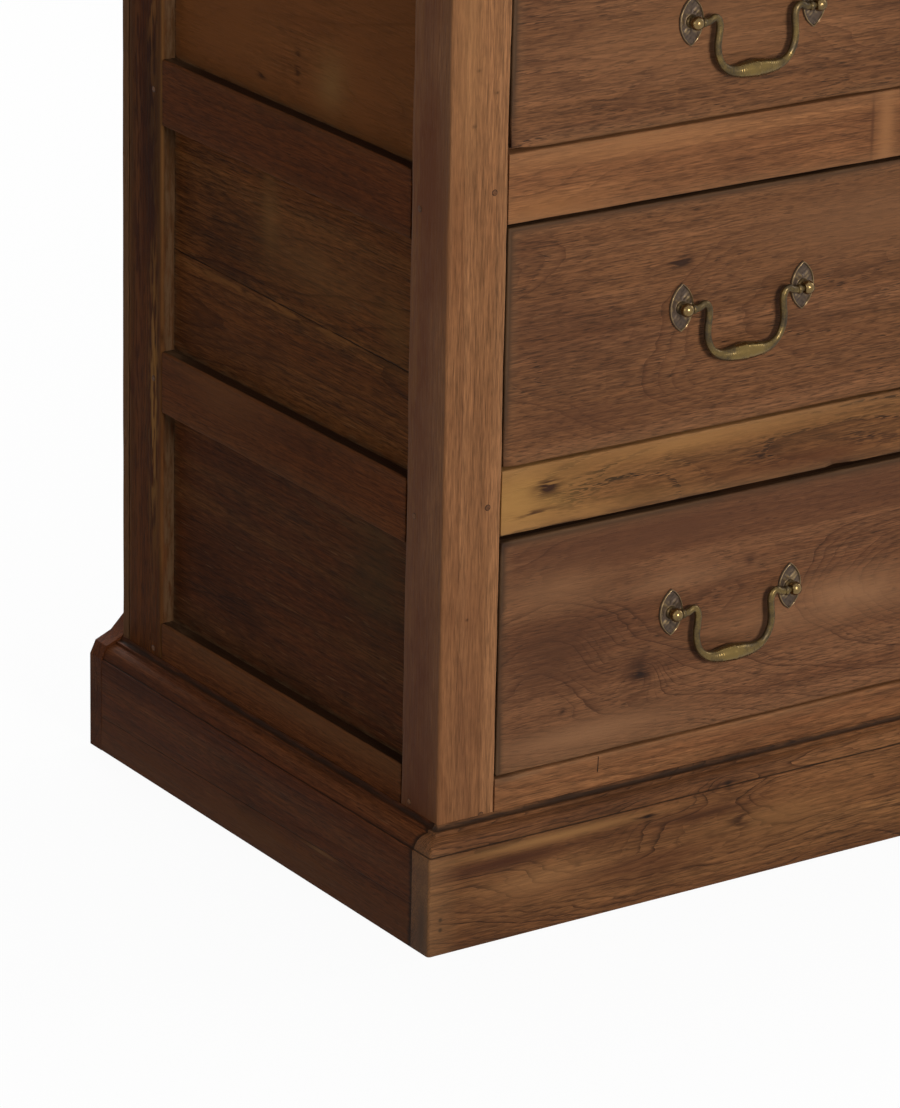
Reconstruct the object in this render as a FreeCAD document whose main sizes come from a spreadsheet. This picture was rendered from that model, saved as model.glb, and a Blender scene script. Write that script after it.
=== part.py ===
import FreeCAD, Part
import math
import os
import Sketcher
from types import SimpleNamespace

# Sideboard with three long drawers in one column.
# A post and rail carcass on a moulded skirting carries dovetailed drawers with drop handles.
# Frame: +Z up, +X along the front, -Y out of the front, origin at the middle of the floor area.

Vector = FreeCAD.Vector
Placement = FreeCAD.Placement
Rotation = FreeCAD.Rotation

# Driving sizes, in millimetres unless the note says otherwise.
DRIVING_SIZES = [
    ("carcass_width", 1165, "outside to outside of the posts, along the front"),
    ("post_side", 50, "side of the square posts"),
    ("arris", 1.5, "radius of the softened edges of posts and drawer fronts"),
    ("bottom_rail_level", 69, "floor to underside of the front bottom rail"),
    ("rail_height", 50, "height of the rails"),
    ("upper_rail_height", 52, "height of the taller upper rails"),
    ("front_rail_depth", 36, "front to back of the front rails"),
    ("side_rail_thickness", 30, "thickness of the side and rear rails"),
    ("low_opening", 189.4, "height of the bottom drawer's opening"),
    ("middle_opening", 184.8, "height of the middle drawer's opening"),
    ("upper_opening", 143.2, "height of the top drawer's opening"),
    ("side_bottom_rise", 5, "side bottom rail above the front bottom rail"),
    ("side_lower_drop", 11, "side lower rail below the front lower rail"),
    ("side_upper_drop", 16, "side upper rail below the front upper rail"),
    ("panel_recess", 11, "face of a side panel behind the face of its rails"),
    ("panel_thickness", 9, "thickness of the side panels and width of their grooves"),
    ("groove_depth", 8, "depth of the panel grooves"),
    ("panel_play", 0.5, "gap round a panel in its grooves"),
    ("tenon_length", 28, "length of the side rails' tenons"),
    ("tenon_wall", 2, "wood left between two mortises that meet in a post"),
    ("tenon_thickness", 10, "thickness of the front and rear rails' tenons"),
    ("tenon_inset", 13, "face of a front or rear rail to its tenon"),
    ("tenon_shoulder", 8, "shoulder above and below a tenon"),
    ("joint_gap", 0.1, "gap left for glue in mortises and sockets"),
    ("peg_radius", 2.4, "radius of the pegs through the joints"),
    ("peg_inset", 12, "inner edge of a post to the middle of a peg"),
    ("peg_length", 34, "length of the pegs"),
    ("peg_gap", 0.1, "gap round a peg"),
    ("back_board_thickness", 9, "thickness of the upright back boards"),
    ("back_board_count", 8, "number of back boards"),
    ("back_board_gap", 1, "gap between two back boards"),
    ("back_board_level", 12, "floor to lower end of the back boards"),
    ("top_thickness", 28, "thickness of the top board"),
    ("top_overhang", 20, "top board past the front and the sides"),
    ("top_rear_overhang", 12, "top board past the back boards"),
    ("top_nosing_radius", 10, "rounding of the upper edge of the top board"),
    ("top_under_radius", 5, "rounding of the lower edge of the top board"),
    ("skirting_height", 94, "height of the front and side skirting boards"),
    ("skirting_thickness", 20, "thickness of the front and side skirting boards"),
    ("skirting_lip", 3, "end of the front skirting past the back of its face board"),
    ("back_skirting_thickness", 18, "thickness of the back skirting board"),
    ("back_skirting_height", 110, "height of the back skirting board"),
    ("mould_flat", 1, "flat on top of the skirting moulding"),
    ("mould_cove_radius", 3.5, "radius of the hollow of the moulding"),
    ("mould_fillet_width", 2, "width of the small step under the hollow"),
    ("mould_fillet_drop", 2.5, "height of the small step under the hollow"),
    ("mould_ovolo_drop", 9, "height of the rounded member"),
    ("mould_ovolo_radius", 12.5, "radius of the rounded member"),
    ("mould_quirk_width", 1.5, "step from the rounded member to the face"),
    ("mould_quirk_drop", 1.5, "height of the step under the rounded member"),
    ("runner_thickness", 26, "height of the bearers under the drawers"),
    ("runner_width", 42, "width of the bearers under the drawers"),
    ("guide_height", 20, "height of the guide strips beside the drawers"),
    ("stop_height", 8, "height of the drawer stops"),
    ("stop_length", 40, "length of the drawer stops"),
    ("stop_inset", 150, "post to the near end of a drawer stop"),
    ("drawer_recess", 2, "drawer face behind the face of the posts"),
    ("drawer_side_gap", 2, "gap between a drawer and the posts"),
    ("drawer_foot_gap", 1, "gap under a drawer front"),
    ("drawer_top_gap", 3, "gap over a drawer front"),
    ("low_drawer_extra_gap", 2, "extra gap over the bottom drawer front"),
    ("drawer_depth", 398, "face of a drawer to the back of the drawer"),
    ("drawer_rear_gap", 41, "back of a drawer to the back boards"),
    ("front_thickness", 22, "thickness of a drawer front"),
    ("drawer_side_thickness", 12, "thickness of a drawer's sides"),
    ("drawer_back_thickness", 12, "thickness of a drawer's back"),
    ("drawer_side_step", 10, "top of a drawer front to top of its sides"),
    ("drawer_back_step", 8, "top of a drawer's sides to top of its back"),
    ("bottom_level", 10, "lower edge of a drawer's side to its bottom board"),
    ("bottom_thickness", 8, "thickness of a drawer's bottom board"),
    ("bottom_groove_depth", 6, "depth of the grooves for the bottom board"),
    ("front_tail_count", 4, "number of dovetails at a drawer's front corner"),
    ("back_tail_count", 3, "number of dovetails at a drawer's back corner"),
    ("front_tail_width", 24, "width of a front dovetail at its end"),
    ("front_tail_length", 14, "length of a front dovetail"),
    ("back_tail_width", 24, "width of a back dovetail at its end"),
    ("tail_slope", 6, "dovetail slope, length to one of width"),
    ("handle_inset", 211, "edge of the opening to the middle of a handle"),
    ("handle_spacing", 110, "distance between the two posts of a handle"),
    ("handle_height_share", 0.533, "height of a handle's axis as a share of its opening"),
    ("handle_standoff", 8, "drawer face to the turning axis of a handle"),
    ("plate_half_height", 18.5, "middle to upper tip of a backplate"),
    ("plate_half_width", 10.5, "middle to side of a backplate"),
    ("plate_thickness", 2.2, "thickness of a backplate at its rim"),
    ("plate_rim", 1.4, "width of the raised rim of a backplate"),
    ("plate_dish", 0.9, "depth of the sunk field of a backplate"),
    ("boss_radius", 4.6, "radius of the raised ring round a handle post"),
    ("ball_radius", 5, "radius of the round head of a handle post"),
    ("ball_flat", 4, "middle of the head to its flat inner side"),
    ("neck_radius", 3, "radius of the neck behind the head"),
    ("stem_radius", 2.4, "radius of the stem through the drawer front"),
    ("stem_gap", 0.1, "gap round the stem"),
    ("nut_side", 10, "side of the square nut"),
    ("nut_thickness", 4, "thickness of the square nut"),
    ("stem_end", 2, "stem past the nut"),
    ("pin_radius", 2, "radius of the pins at the ends of a bail"),
    ("pin_gap", 0.08, "gap round a pin"),
    ("pin_engagement", 5.5, "length of a pin past the flat side of the head"),
    ("bail_drop", 40, "turning axis to the middle of the grip"),
    ("bail_half_width", 36, "middle of a bail to the middle of its arms"),
    ("bail_radius", 2.6, "radius of a bail's rod"),
    ("bail_corner_radius", 14, "bend at the lower corners of a bail"),
    ("bail_neck_radius", 5.5, "bends of the swan neck"),
    ("bail_neck_rise", 2.5, "top of the swan neck above the turning axis"),
    ("grip_radius", 6, "largest radius of the swelling grip"),
    ("grip_half_length", 24, "middle to end of the swelling grip"),
    ("collar_radius", 3.8, "radius of the collar beside a pin"),
    ("collar_width", 3, "width of the collar beside a pin"),
    ("collar_gap", 1.5, "collar to the flat side of the head"),
    ("bail_shift", 1.2, "sideways rest place of a bail between its posts"),
]


class Size:
    """A length with the number it has now and the formula that gives it from the sheet."""

    def __init__(self, formula, number):
        self.formula = formula
        self.number = number

    def __add__(self, other):
        return Size("(%s + %s)" % (self.formula, formula_of(other)), self.number + number_of(other))

    def __radd__(self, other):
        return Size("(%s + %s)" % (formula_of(other), self.formula), number_of(other) + self.number)

    def __sub__(self, other):
        return Size("(%s - %s)" % (self.formula, formula_of(other)), self.number - number_of(other))

    def __rsub__(self, other):
        return Size("(%s - %s)" % (formula_of(other), self.formula), number_of(other) - self.number)

    def __mul__(self, other):
        return Size("(%s * %s)" % (self.formula, formula_of(other)), self.number * number_of(other))

    def __rmul__(self, other):
        return self * other

    def __truediv__(self, other):
        return Size("(%s / %s)" % (self.formula, formula_of(other)), self.number / number_of(other))

    def __neg__(self):
        return Size("(-%s)" % self.formula, -self.number)


def formula_of(value):
    """Text of a value for the document's expressions."""
    return value.formula if isinstance(value, Size) else repr(float(value))


def number_of(value):
    """Number of a value."""
    return value.number if isinstance(value, Size) else float(value)


def root_of(value):
    """Square root of a size."""
    return Size("sqrt(%s)" % formula_of(value), math.sqrt(number_of(value)))


document = FreeCAD.newDocument("sideboard")
sheet = document.addObject("Spreadsheet::Sheet", "sizes")
for row, (alias, number, note) in enumerate(DRIVING_SIZES, start=1):
    sheet.set("A%d" % row, note)
    sheet.set("B%d" % row, str(number))
    sheet.setAlias("B%d" % row, alias)
document.recompute()
size = SimpleNamespace(**{alias: Size("sizes." + alias, number) for alias, number, note in DRIVING_SIZES})


# Levels and places that follow from the driving sizes.
carcass_depth = size.drawer_recess + size.drawer_depth + size.drawer_rear_gap
front_y = -(size.skirting_thickness + carcass_depth + size.back_board_thickness
            + size.back_skirting_thickness) / 2 + size.skirting_thickness
half_width = size.carcass_width / 2
half_opening = half_width - size.post_side
level_bottom_rail = size.bottom_rail_level
level_low_drawer = level_bottom_rail + size.rail_height
level_lower_rail = level_low_drawer + size.low_opening
level_middle_drawer = level_lower_rail + size.rail_height
level_upper_rail = level_middle_drawer + size.middle_opening
level_top_drawer = level_upper_rail + size.upper_rail_height
level_top_rail = level_top_drawer + size.upper_opening
post_height = level_top_rail + size.rail_height
front_rails = [
    ("bottom", level_bottom_rail, size.rail_height),
    ("lower", level_lower_rail, size.rail_height),
    ("upper", level_upper_rail, size.upper_rail_height),
    ("top", level_top_rail, size.rail_height),
]
side_rails = [
    ("bottom", level_bottom_rail + size.side_bottom_rise, size.rail_height),
    ("lower", level_middle_drawer - size.side_lower_drop - size.rail_height, size.rail_height),
    ("upper", level_top_drawer - size.side_upper_drop - size.upper_rail_height, size.upper_rail_height),
    ("top", level_top_rail, size.rail_height),
]
rear_rails = [front_rails[0], front_rails[3]]
front_tenon_length = size.post_side - size.panel_recess - size.panel_thickness - size.tenon_wall
side_shoulder_length = carcass_depth - 2 * size.post_side
rear_rail_inset = size.post_side - size.side_rail_thickness


def place(thing, x, y, z):
    """Bind the place of an object to sizes."""
    for axis, value in zip("xyz", (x, y, z)):
        thing.setExpression(".Placement.Base." + axis, formula_of(value))


def new_body(label):
    """Empty body with a label."""
    body = document.addObject("PartDesign::Body", label)
    body.Label = label
    return body


def origin_part(body, role):
    """Plane or axis of a body's own origin."""
    return next(item for item in body.Origin.OriginFeatures if item.Role == role)


def sketch_on(body, name, plane, offset=(0, 0, 0)):
    """Sketch on an origin plane of a body, moved along that plane's own directions."""
    sketch = body.newObject("Sketcher::SketchObject", name)
    sketch.AttachmentSupport = [(origin_part(body, plane), "")]
    sketch.MapMode = "FlatFace"
    for axis, value in zip("xyz", offset):
        sketch.setExpression(".AttachmentOffset.Base." + axis, formula_of(value))
    return sketch


def hold(sketch, kind, geometry, point, value, name):
    """Bind the place of one point along one direction."""
    if not isinstance(value, Size) and value == 0:
        axis = -2 if kind == "DistanceX" else -1
        sketch.addConstraint(Sketcher.Constraint("PointOnObject", geometry, point, axis))
        return
    index = sketch.addConstraint(Sketcher.Constraint(kind, -1, 1, geometry, point, number_of(value)))
    sketch.renameConstraint(index, name)
    sketch.setExpression("Constraints." + name, formula_of(value))


def arc_between(start, end, radius, turn):
    """Minor arc from start to end, turning left for +1 and right for -1."""
    chord = end - start
    half = chord.Length / 2
    height = math.sqrt(max(radius * radius - half * half, 0.0))
    across = Vector(-chord.y, chord.x, 0).normalize()
    centre = (start + end) * 0.5 + across * (height * turn)
    first, last = (start, end) if turn > 0 else (end, start)
    first_angle = math.atan2(first.y - centre.y, first.x - centre.x)
    last_angle = math.atan2(last.y - centre.y, last.x - centre.x)
    circle = Part.Circle(centre, Vector(0, 0, 1), radius)
    return Part.ArcOfCircle(circle, first_angle, last_angle)


def trace(sketch, start, steps, closed=True):
    """Draw a line of straight runs (x, y) and arcs (x, y, radius, turn), each corner bound to sizes."""
    corners = [start] + [step[:2] for step in steps]
    apart = math.dist([number_of(value) for value in corners[-1]], [number_of(value) for value in start])
    if closed and apart > 1e-6:
        steps = steps + [start]
        corners.append(start)
    ends = []
    for number, step in enumerate(steps):
        first = Vector(number_of(corners[number][0]), number_of(corners[number][1]), 0)
        last = Vector(number_of(corners[number + 1][0]), number_of(corners[number + 1][1]), 0)
        if len(step) == 2:
            geometry = sketch.addGeometry(Part.LineSegment(first, last), False)
            ends.append((geometry, 1, 2))
            continue
        radius, turn = step[2], step[3]
        geometry = sketch.addGeometry(arc_between(first, last, number_of(radius), turn), False)
        ends.append((geometry, 1, 2) if turn > 0 else (geometry, 2, 1))
        index = sketch.addConstraint(Sketcher.Constraint("Radius", geometry, number_of(radius)))
        sketch.renameConstraint(index, "radius%d" % number)
        sketch.setExpression("Constraints.radius%d" % number, formula_of(radius))
    for number, (geometry, first, last) in enumerate(ends):
        hold(sketch, "DistanceX", geometry, first, corners[number][0], "across%d" % number)
        hold(sketch, "DistanceY", geometry, first, corners[number][1], "along%d" % number)
        if number + 1 < len(ends):
            following = ends[number + 1]
            sketch.addConstraint(Sketcher.Constraint("Coincident", geometry, last, following[0], following[1]))
        elif closed:
            sketch.addConstraint(Sketcher.Constraint("Coincident", geometry, last, ends[0][0], ends[0][1]))
        else:
            hold(sketch, "DistanceX", geometry, last, corners[-1][0], "across_end")
            hold(sketch, "DistanceY", geometry, last, corners[-1][1], "along_end")
    return sketch


def draw_rectangle(sketch, width, height):
    """Rectangle from the sketch's own origin."""
    return trace(sketch, (0, 0), [(width, 0), (width, height), (0, height)])


def draw_circle(sketch, x, y, radius, name="hole"):
    """Circle at a bound place."""
    centre = Vector(number_of(x), number_of(y), 0)
    circle = sketch.addGeometry(Part.Circle(centre, Vector(0, 0, 1), number_of(radius)), False)
    hold(sketch, "DistanceX", circle, 3, x, name + "_across")
    hold(sketch, "DistanceY", circle, 3, y, name + "_along")
    index = sketch.addConstraint(Sketcher.Constraint("Radius", circle, number_of(radius)))
    sketch.renameConstraint(index, name + "_radius")
    sketch.setExpression("Constraints." + name + "_radius", formula_of(radius))


def pad(body, sketch, length, flip=False):
    """Grow a sketch along its normal, or against it."""
    feature = body.newObject("PartDesign::Pad", sketch.Name + "_pad")
    feature.Profile = sketch
    feature.Reversed = flip
    feature.setExpression("Length", formula_of(length))
    return feature


def cut(body, sketch, length, flip=False):
    """Sink a sketch against its normal, or along it."""
    feature = body.newObject("PartDesign::Pocket", sketch.Name + "_cut")
    feature.Profile = sketch
    feature.Reversed = flip
    feature.setExpression("Length", formula_of(length))
    return feature


def revolve(body, sketch, axis):
    """Turn a sketch once round an axis of its own."""
    feature = body.newObject("PartDesign::Revolution", sketch.Name + "_turned")
    feature.Profile = sketch
    feature.ReferenceAxis = (sketch, [axis])
    feature.Angle = 360
    return feature


def block(body, name, corner, extent):
    """Rectangular bar from its lowest corner."""
    sketch = sketch_on(body, name, "XY_Plane", corner)
    draw_rectangle(sketch, extent[0], extent[1])
    return pad(body, sketch, extent[2])


def hollow(body, name, corner, extent):
    """Rectangular mortise, groove or notch from its lowest corner."""
    sketch = sketch_on(body, name, "XY_Plane", corner)
    draw_rectangle(sketch, extent[0], extent[1])
    return cut(body, sketch, extent[2], flip=True)


def repeat_row(body, feature, axis, spacing, count):
    """Repeat a feature in a row."""
    row = body.newObject("PartDesign::LinearPattern", feature.Name + "_row")
    row.Originals = [feature]
    row.Direction = (origin_part(body, axis), [""])
    row.Mode = "Spacing"
    row.setExpression("Offset", formula_of(spacing))
    row.setExpression("Occurrences", formula_of(count))
    body.Tip = row
    return row


def mirror_image(body, features, plane):
    """Mirror features of a body across a plane of its own."""
    image = body.newObject("PartDesign::Mirrored", features[-1].Name + "_mirrored")
    image.Originals = features
    image.MirrorPlane = (origin_part(body, plane), [""])
    body.Tip = image
    return image


fillet_jobs = []


def soften(body, chooser, radius):
    """Ask for rounded edges, chosen once the body has its shape."""
    fillet_jobs.append((body, body.Tip, chooser, radius))


def right_hand(label, source):
    """Mirror copy of a left hand piece across the middle of the object."""
    piece = document.addObject("Part::Mirroring", label)
    piece.Label = label
    piece.Source = source
    piece.Normal = Vector(1, 0, 0)
    piece.Base = Vector(0, 0, 0)
    return piece


def group(label, members):
    """Separate solids that share one node."""
    compound = document.addObject("Part::Compound", label)
    compound.Label = label
    compound.Links = members
    return compound


def box(label, corner, extent):
    """Plain rectangular strip, placed by its lowest corner."""
    strip = document.addObject("Part::Box", label)
    strip.setExpression("Length", formula_of(extent[0]))
    strip.setExpression("Width", formula_of(extent[1]))
    strip.setExpression("Height", formula_of(extent[2]))
    place(strip, *corner)
    return strip


pieces = []


def keep(piece):
    """Count an object as a piece of the sideboard."""
    pieces.append(piece)
    return piece


def keep_pair(left, right_label):
    """Keep a left hand piece and its mirror copy."""
    keep(left)
    keep(right_hand(right_label, left))


# Corner posts

def add_side_joinery(body, rails, mortise_y, groove_y, peg_y):
    """Cut a post's groove for the side panels and its mortises for the side rails."""
    groove_foot = rails[0][1]
    hollow(body, body.Label + "_panel_groove", (size.panel_recess, groove_y, groove_foot),
           (size.panel_thickness, size.groove_depth, post_height - groove_foot))
    for name, level, height in rails:
        hollow(body, body.Label + "_side_mortise_" + name,
               (size.panel_recess, mortise_y, level + size.tenon_shoulder - size.joint_gap),
               (size.panel_thickness, size.tenon_length + size.joint_gap,
                height - 2 * size.tenon_shoulder + 2 * size.joint_gap))
    holes = sketch_on(body, body.Label + "_side_peg_holes", "YZ_Plane")
    for name, level, height in rails:
        draw_circle(holes, peg_y, level + height / 2, size.peg_radius + size.peg_gap, name)
    cut(body, holes, size.peg_length + size.peg_gap, flip=True)


def add_cross_joinery(body, rails, mortise_y, peg_from_back):
    """Cut a post's mortises for the rails that run along the front or the back."""
    for name, level, height in rails:
        hollow(body, body.Label + "_cross_mortise_" + name,
               (size.post_side - front_tenon_length - size.joint_gap,
                mortise_y - size.joint_gap,
                level + size.tenon_shoulder - size.joint_gap),
               (front_tenon_length + size.joint_gap,
                size.tenon_thickness + 2 * size.joint_gap,
                height - 2 * size.tenon_shoulder + 2 * size.joint_gap))
    depth = -size.post_side if peg_from_back else 0
    holes = sketch_on(body, body.Label + "_cross_peg_holes", "XZ_Plane", (0, 0, depth))
    for name, level, height in rails:
        draw_circle(holes, size.post_side - size.peg_inset, level + height / 2,
                    size.peg_radius + size.peg_gap, name)
    cut(body, holes, size.peg_length + size.peg_gap, flip=peg_from_back)


def upright_edges(shape):
    """Edges of a post that stand upright at its four corners."""
    bounds = shape.BoundBox
    chosen = []
    for number, edge in enumerate(shape.Edges, start=1):
        ends = [vertex.Point for vertex in edge.Vertexes]
        if len(ends) < 2 or abs(ends[0].z - ends[1].z) < bounds.ZLength - 1e-3:
            continue
        at_corner = (min(abs(ends[0].x - bounds.XMin), abs(ends[0].x - bounds.XMax)) < 1e-3
                     and min(abs(ends[0].y - bounds.YMin), abs(ends[0].y - bounds.YMax)) < 1e-3)
        if at_corner:
            chosen.append("Edge%d" % number)
    return chosen


def build_posts():
    """Front post with eight mortises, rear post with six, and their mirror copies."""
    front = new_body("post_front_left")
    place(front, -half_width, front_y, 0)
    block(front, "front_post_bar", (0, 0, 0), (size.post_side, size.post_side, post_height))
    soften(front, upright_edges, size.arris)
    rear = new_body("post_rear_left")
    place(rear, -half_width, front_y + carcass_depth - size.post_side, 0)
    block(rear, "rear_post_bar", (0, 0, 0), (size.post_side, size.post_side, post_height))
    soften(rear, upright_edges, size.arris)
    finish_fillets()
    add_side_joinery(front, side_rails, size.post_side - size.tenon_length - size.joint_gap,
                     size.post_side - size.groove_depth, size.post_side - size.peg_inset)
    add_cross_joinery(front, front_rails, size.tenon_inset, peg_from_back=False)
    add_side_joinery(rear, side_rails, 0, 0, size.peg_inset)
    add_cross_joinery(rear, rear_rails, rear_rail_inset + size.tenon_inset, peg_from_back=True)
    keep_pair(front, "post_front_right")
    keep_pair(rear, "post_rear_right")


# Rails

def build_side_rail(name, level, height, groove_below, groove_above):
    """Side rail with a long tenon bar through it and grooves for the panels."""
    body = new_body("side_rail_left_" + name)
    place(body, -half_width, front_y + size.post_side, level)
    block(body, body.Label + "_bar", (0, 0, 0), (size.side_rail_thickness, side_shoulder_length, height))
    block(body, body.Label + "_tenons",
          (size.panel_recess + size.joint_gap, -size.tenon_length, size.tenon_shoulder),
          (size.panel_thickness - 2 * size.joint_gap, side_shoulder_length + 2 * size.tenon_length,
           height - 2 * size.tenon_shoulder))
    grooves = []
    if groove_below:
        grooves.append(("groove_below", 0))
    if groove_above:
        grooves.append(("groove_above", height - size.groove_depth))
    for groove, bottom in grooves:
        hollow(body, body.Label + "_" + groove, (size.panel_recess, 0, bottom),
               (size.panel_thickness, side_shoulder_length, size.groove_depth))
    holes = sketch_on(body, body.Label + "_peg_holes", "YZ_Plane")
    radius = size.peg_radius + size.peg_gap
    draw_circle(holes, -size.peg_inset, height / 2, radius, "near")
    draw_circle(holes, side_shoulder_length + size.peg_inset, height / 2, radius, "far")
    cut(body, holes, size.side_rail_thickness, flip=True)
    keep_pair(body, "side_rail_right_" + name)


def build_cross_rail(label, y, depth, level, height):
    """Rail along the front or the back, tenoned into two posts."""
    body = new_body(label)
    place(body, -half_opening, y, level)
    block(body, label + "_bar", (0, 0, 0), (2 * half_opening, depth, height))
    block(body, label + "_tenons", (-front_tenon_length, size.tenon_inset, size.tenon_shoulder),
          (2 * half_opening + 2 * front_tenon_length, size.tenon_thickness,
           height - 2 * size.tenon_shoulder))
    holes = sketch_on(body, label + "_peg_holes", "XZ_Plane")
    radius = size.peg_radius + size.peg_gap
    draw_circle(holes, -size.peg_inset, height / 2, radius, "left")
    draw_circle(holes, 2 * half_opening + size.peg_inset, height / 2, radius, "right")
    cut(body, holes, depth)
    keep(body)


def build_rails():
    """All rails of the carcass."""
    last = len(side_rails) - 1
    for number, (name, level, height) in enumerate(side_rails):
        build_side_rail(name, level, height, number > 0, number < last)
    for name, level, height in front_rails:
        build_cross_rail("front_rail_" + name, front_y, size.front_rail_depth, level, height)
    rear_y = front_y + carcass_depth - size.side_rail_thickness
    for name, level, height in rear_rails:
        build_cross_rail("rear_rail_" + name, rear_y, size.side_rail_thickness, level, height)


def build_side_panels():
    """Plain panels, loose in the grooves of posts and rails."""
    reach = size.groove_depth - size.panel_play
    for number, name in enumerate(("bottom", "middle", "top")):
        below, above = side_rails[number], side_rails[number + 1]
        foot = below[1] + below[2] - reach
        body = new_body("side_panel_left_" + name)
        place(body, -half_width + size.panel_recess + size.joint_gap,
              front_y + size.post_side - reach, foot)
        block(body, body.Label + "_board", (0, 0, 0),
              (size.panel_thickness - 2 * size.joint_gap, side_shoulder_length + 2 * reach,
               above[1] + reach - foot))
        keep_pair(body, "side_panel_right_" + name)


def build_back_boards():
    """Upright boards side by side behind the posts."""
    count = int(size.back_board_count.number)
    width = (size.carcass_width - (count - 1) * size.back_board_gap) / count
    boards = []
    for number in range(count):
        corner = (-half_width + number * (width + size.back_board_gap),
                  front_y + carcass_depth, size.back_board_level)
        extent = (width, size.back_board_thickness, post_height - size.back_board_level)
        boards.append(box("back_board_%d" % (number + 1), corner, extent))
    keep(group("back_boards", boards))


# Top board and skirting

def flat_rim(level):
    """Chooser for the edges round a horizontal face, at its upper or lower level."""
    def choose(shape):
        bounds = shape.BoundBox
        height = bounds.ZMax if level == "upper" else bounds.ZMin
        return ["Edge%d" % number for number, edge in enumerate(shape.Edges, start=1)
                if all(abs(vertex.Z - height) < 1e-3 for vertex in edge.Vertexes)]
    return choose


def build_top():
    """Solid top board with a rounded nosing."""
    body = new_body("top_board")
    depth = (carcass_depth + size.back_board_thickness + size.top_overhang
             + size.top_rear_overhang)
    place(body, -half_width - size.top_overhang, front_y - size.top_overhang, post_height)
    block(body, "top_slab", (0, 0, 0), (size.carcass_width + 2 * size.top_overhang, depth,
                                        size.top_thickness))
    soften(body, flat_rim("upper"), size.top_nosing_radius)
    finish_fillets()
    soften(body, flat_rim("lower"), size.top_under_radius)
    finish_fillets()
    keep(body)


def moulding_steps(inner, side):
    """Moulding from its flat top out to the face: hollow, small step, rounded member, quirk.

    The moulding starts at inner and runs to the left for side -1.
    """
    top = size.skirting_height
    cove_x = size.mould_flat + size.mould_cove_radius
    cove_z = top - size.mould_cove_radius
    step_x = cove_x + size.mould_fillet_width
    step_z = cove_z - size.mould_fillet_drop
    round_x = size.skirting_thickness - size.mould_quirk_width
    round_z = step_z - size.mould_ovolo_drop
    face_z = round_z - size.mould_quirk_drop
    return [
        (inner + side * size.mould_flat, top),
        (inner + side * cove_x, cove_z, size.mould_cove_radius, -1),
        (inner + side * step_x, cove_z),
        (inner + side * step_x, step_z),
        (inner + side * round_x, round_z, size.mould_ovolo_radius, 1),
        (inner + side * round_x, face_z),
        (inner + side * size.skirting_thickness, face_z),
    ]


def build_skirting():
    """Front board with its moulding returned round the ends, side boards behind it, back board."""
    lip = size.skirting_lip
    thick = size.skirting_thickness
    front = new_body("skirting_front")
    place(front, 0, front_y, 0)
    section = sketch_on(front, "front_skirting_section", "YZ_Plane", (0, 0, -half_width - thick))
    steps = [(0, size.skirting_height)] + moulding_steps(Size("0", 0.0), -1) + [(-thick, 0)]
    trace(section, (0, 0), steps)
    pad(front, section, size.carcass_width + 2 * thick)
    lips = sketch_on(front, "front_skirting_lip", "XY_Plane", (-half_width - thick, 0, 0))
    draw_rectangle(lips, thick, lip)
    left_lip = pad(front, lips, size.skirting_height)
    mirror_image(front, [left_lip], "YZ_Plane")
    clear = size.mould_cove_radius
    above = size.skirting_height + clear
    waste = sketch_on(front, "front_skirting_end", "XZ_Plane", (0, 0, -lip - clear))
    mould = moulding_steps(-half_width, -1)
    outside = -half_width - thick - clear
    trace(waste, mould[0], mould[1:] + [(outside, mould[-1][1]), (outside, above), (mould[0][0], above)])
    end_cut = cut(front, waste, thick + lip + 2 * clear, flip=True)
    mirror_image(front, [end_cut], "YZ_Plane")
    keep(front)

    side = new_body("skirting_left")
    place(side, -half_width, front_y + lip, 0)
    profile = sketch_on(side, "side_skirting_section", "XZ_Plane")
    trace(profile, (0, 0), steps)
    pad(side, profile, carcass_depth + size.back_board_thickness - lip, flip=True)
    keep_pair(side, "skirting_right")

    back = new_body("skirting_back")
    place(back, 0, front_y + carcass_depth + size.back_board_thickness, 0)
    face_z = mould[-1][1]
    step_z = mould[3][1]
    outer = half_width + thick
    shoulder = half_width + size.mould_flat
    rise = size.back_skirting_height - size.skirting_height
    board = sketch_on(back, "back_skirting_board", "XZ_Plane")
    trace(board, (-outer, 0), [
        (outer, 0), (outer, face_z), (outer - thick / 4, step_z), (shoulder, size.skirting_height),
        (shoulder - rise, size.back_skirting_height), (-(shoulder - rise), size.back_skirting_height),
        (-shoulder, size.skirting_height), (-(outer - thick / 4), step_z), (-outer, face_z),
    ])
    pad(back, board, size.back_skirting_thickness, flip=True)
    keep(back)


# What the drawers run on

def build_runners():
    """Bearers notched round the posts, with guide strips in line with the posts."""
    inset = size.side_rail_thickness
    notch = size.post_side - inset
    behind_rail = size.front_rail_depth
    length = carcass_depth - size.side_rail_thickness - behind_rail
    members = []
    for name, level in (("low", level_low_drawer), ("middle", level_middle_drawer), ("top", level_top_drawer)):
        bearer = new_body("bearer_" + name)
        place(bearer, -half_width + inset, front_y + behind_rail, level - size.runner_thickness)
        block(bearer, "bearer_bar_" + name, (0, 0, 0), (size.runner_width, length, size.runner_thickness))
        hollow(bearer, "bearer_front_notch_" + name, (0, 0, 0),
               (notch, size.post_side - behind_rail, size.runner_thickness))
        hollow(bearer, "bearer_rear_notch_" + name, (0, carcass_depth - size.post_side - behind_rail, 0),
               (notch, size.post_side - size.side_rail_thickness, size.runner_thickness))
        guide = box("guide_" + name, (-half_width + inset, front_y + size.post_side, level),
                    (notch, side_shoulder_length, size.guide_height))
        members += [bearer, guide, right_hand("bearer_right_" + name, bearer),
                    right_hand("guide_right_" + name, guide)]
    keep(group("drawer_runners", members))


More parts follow.
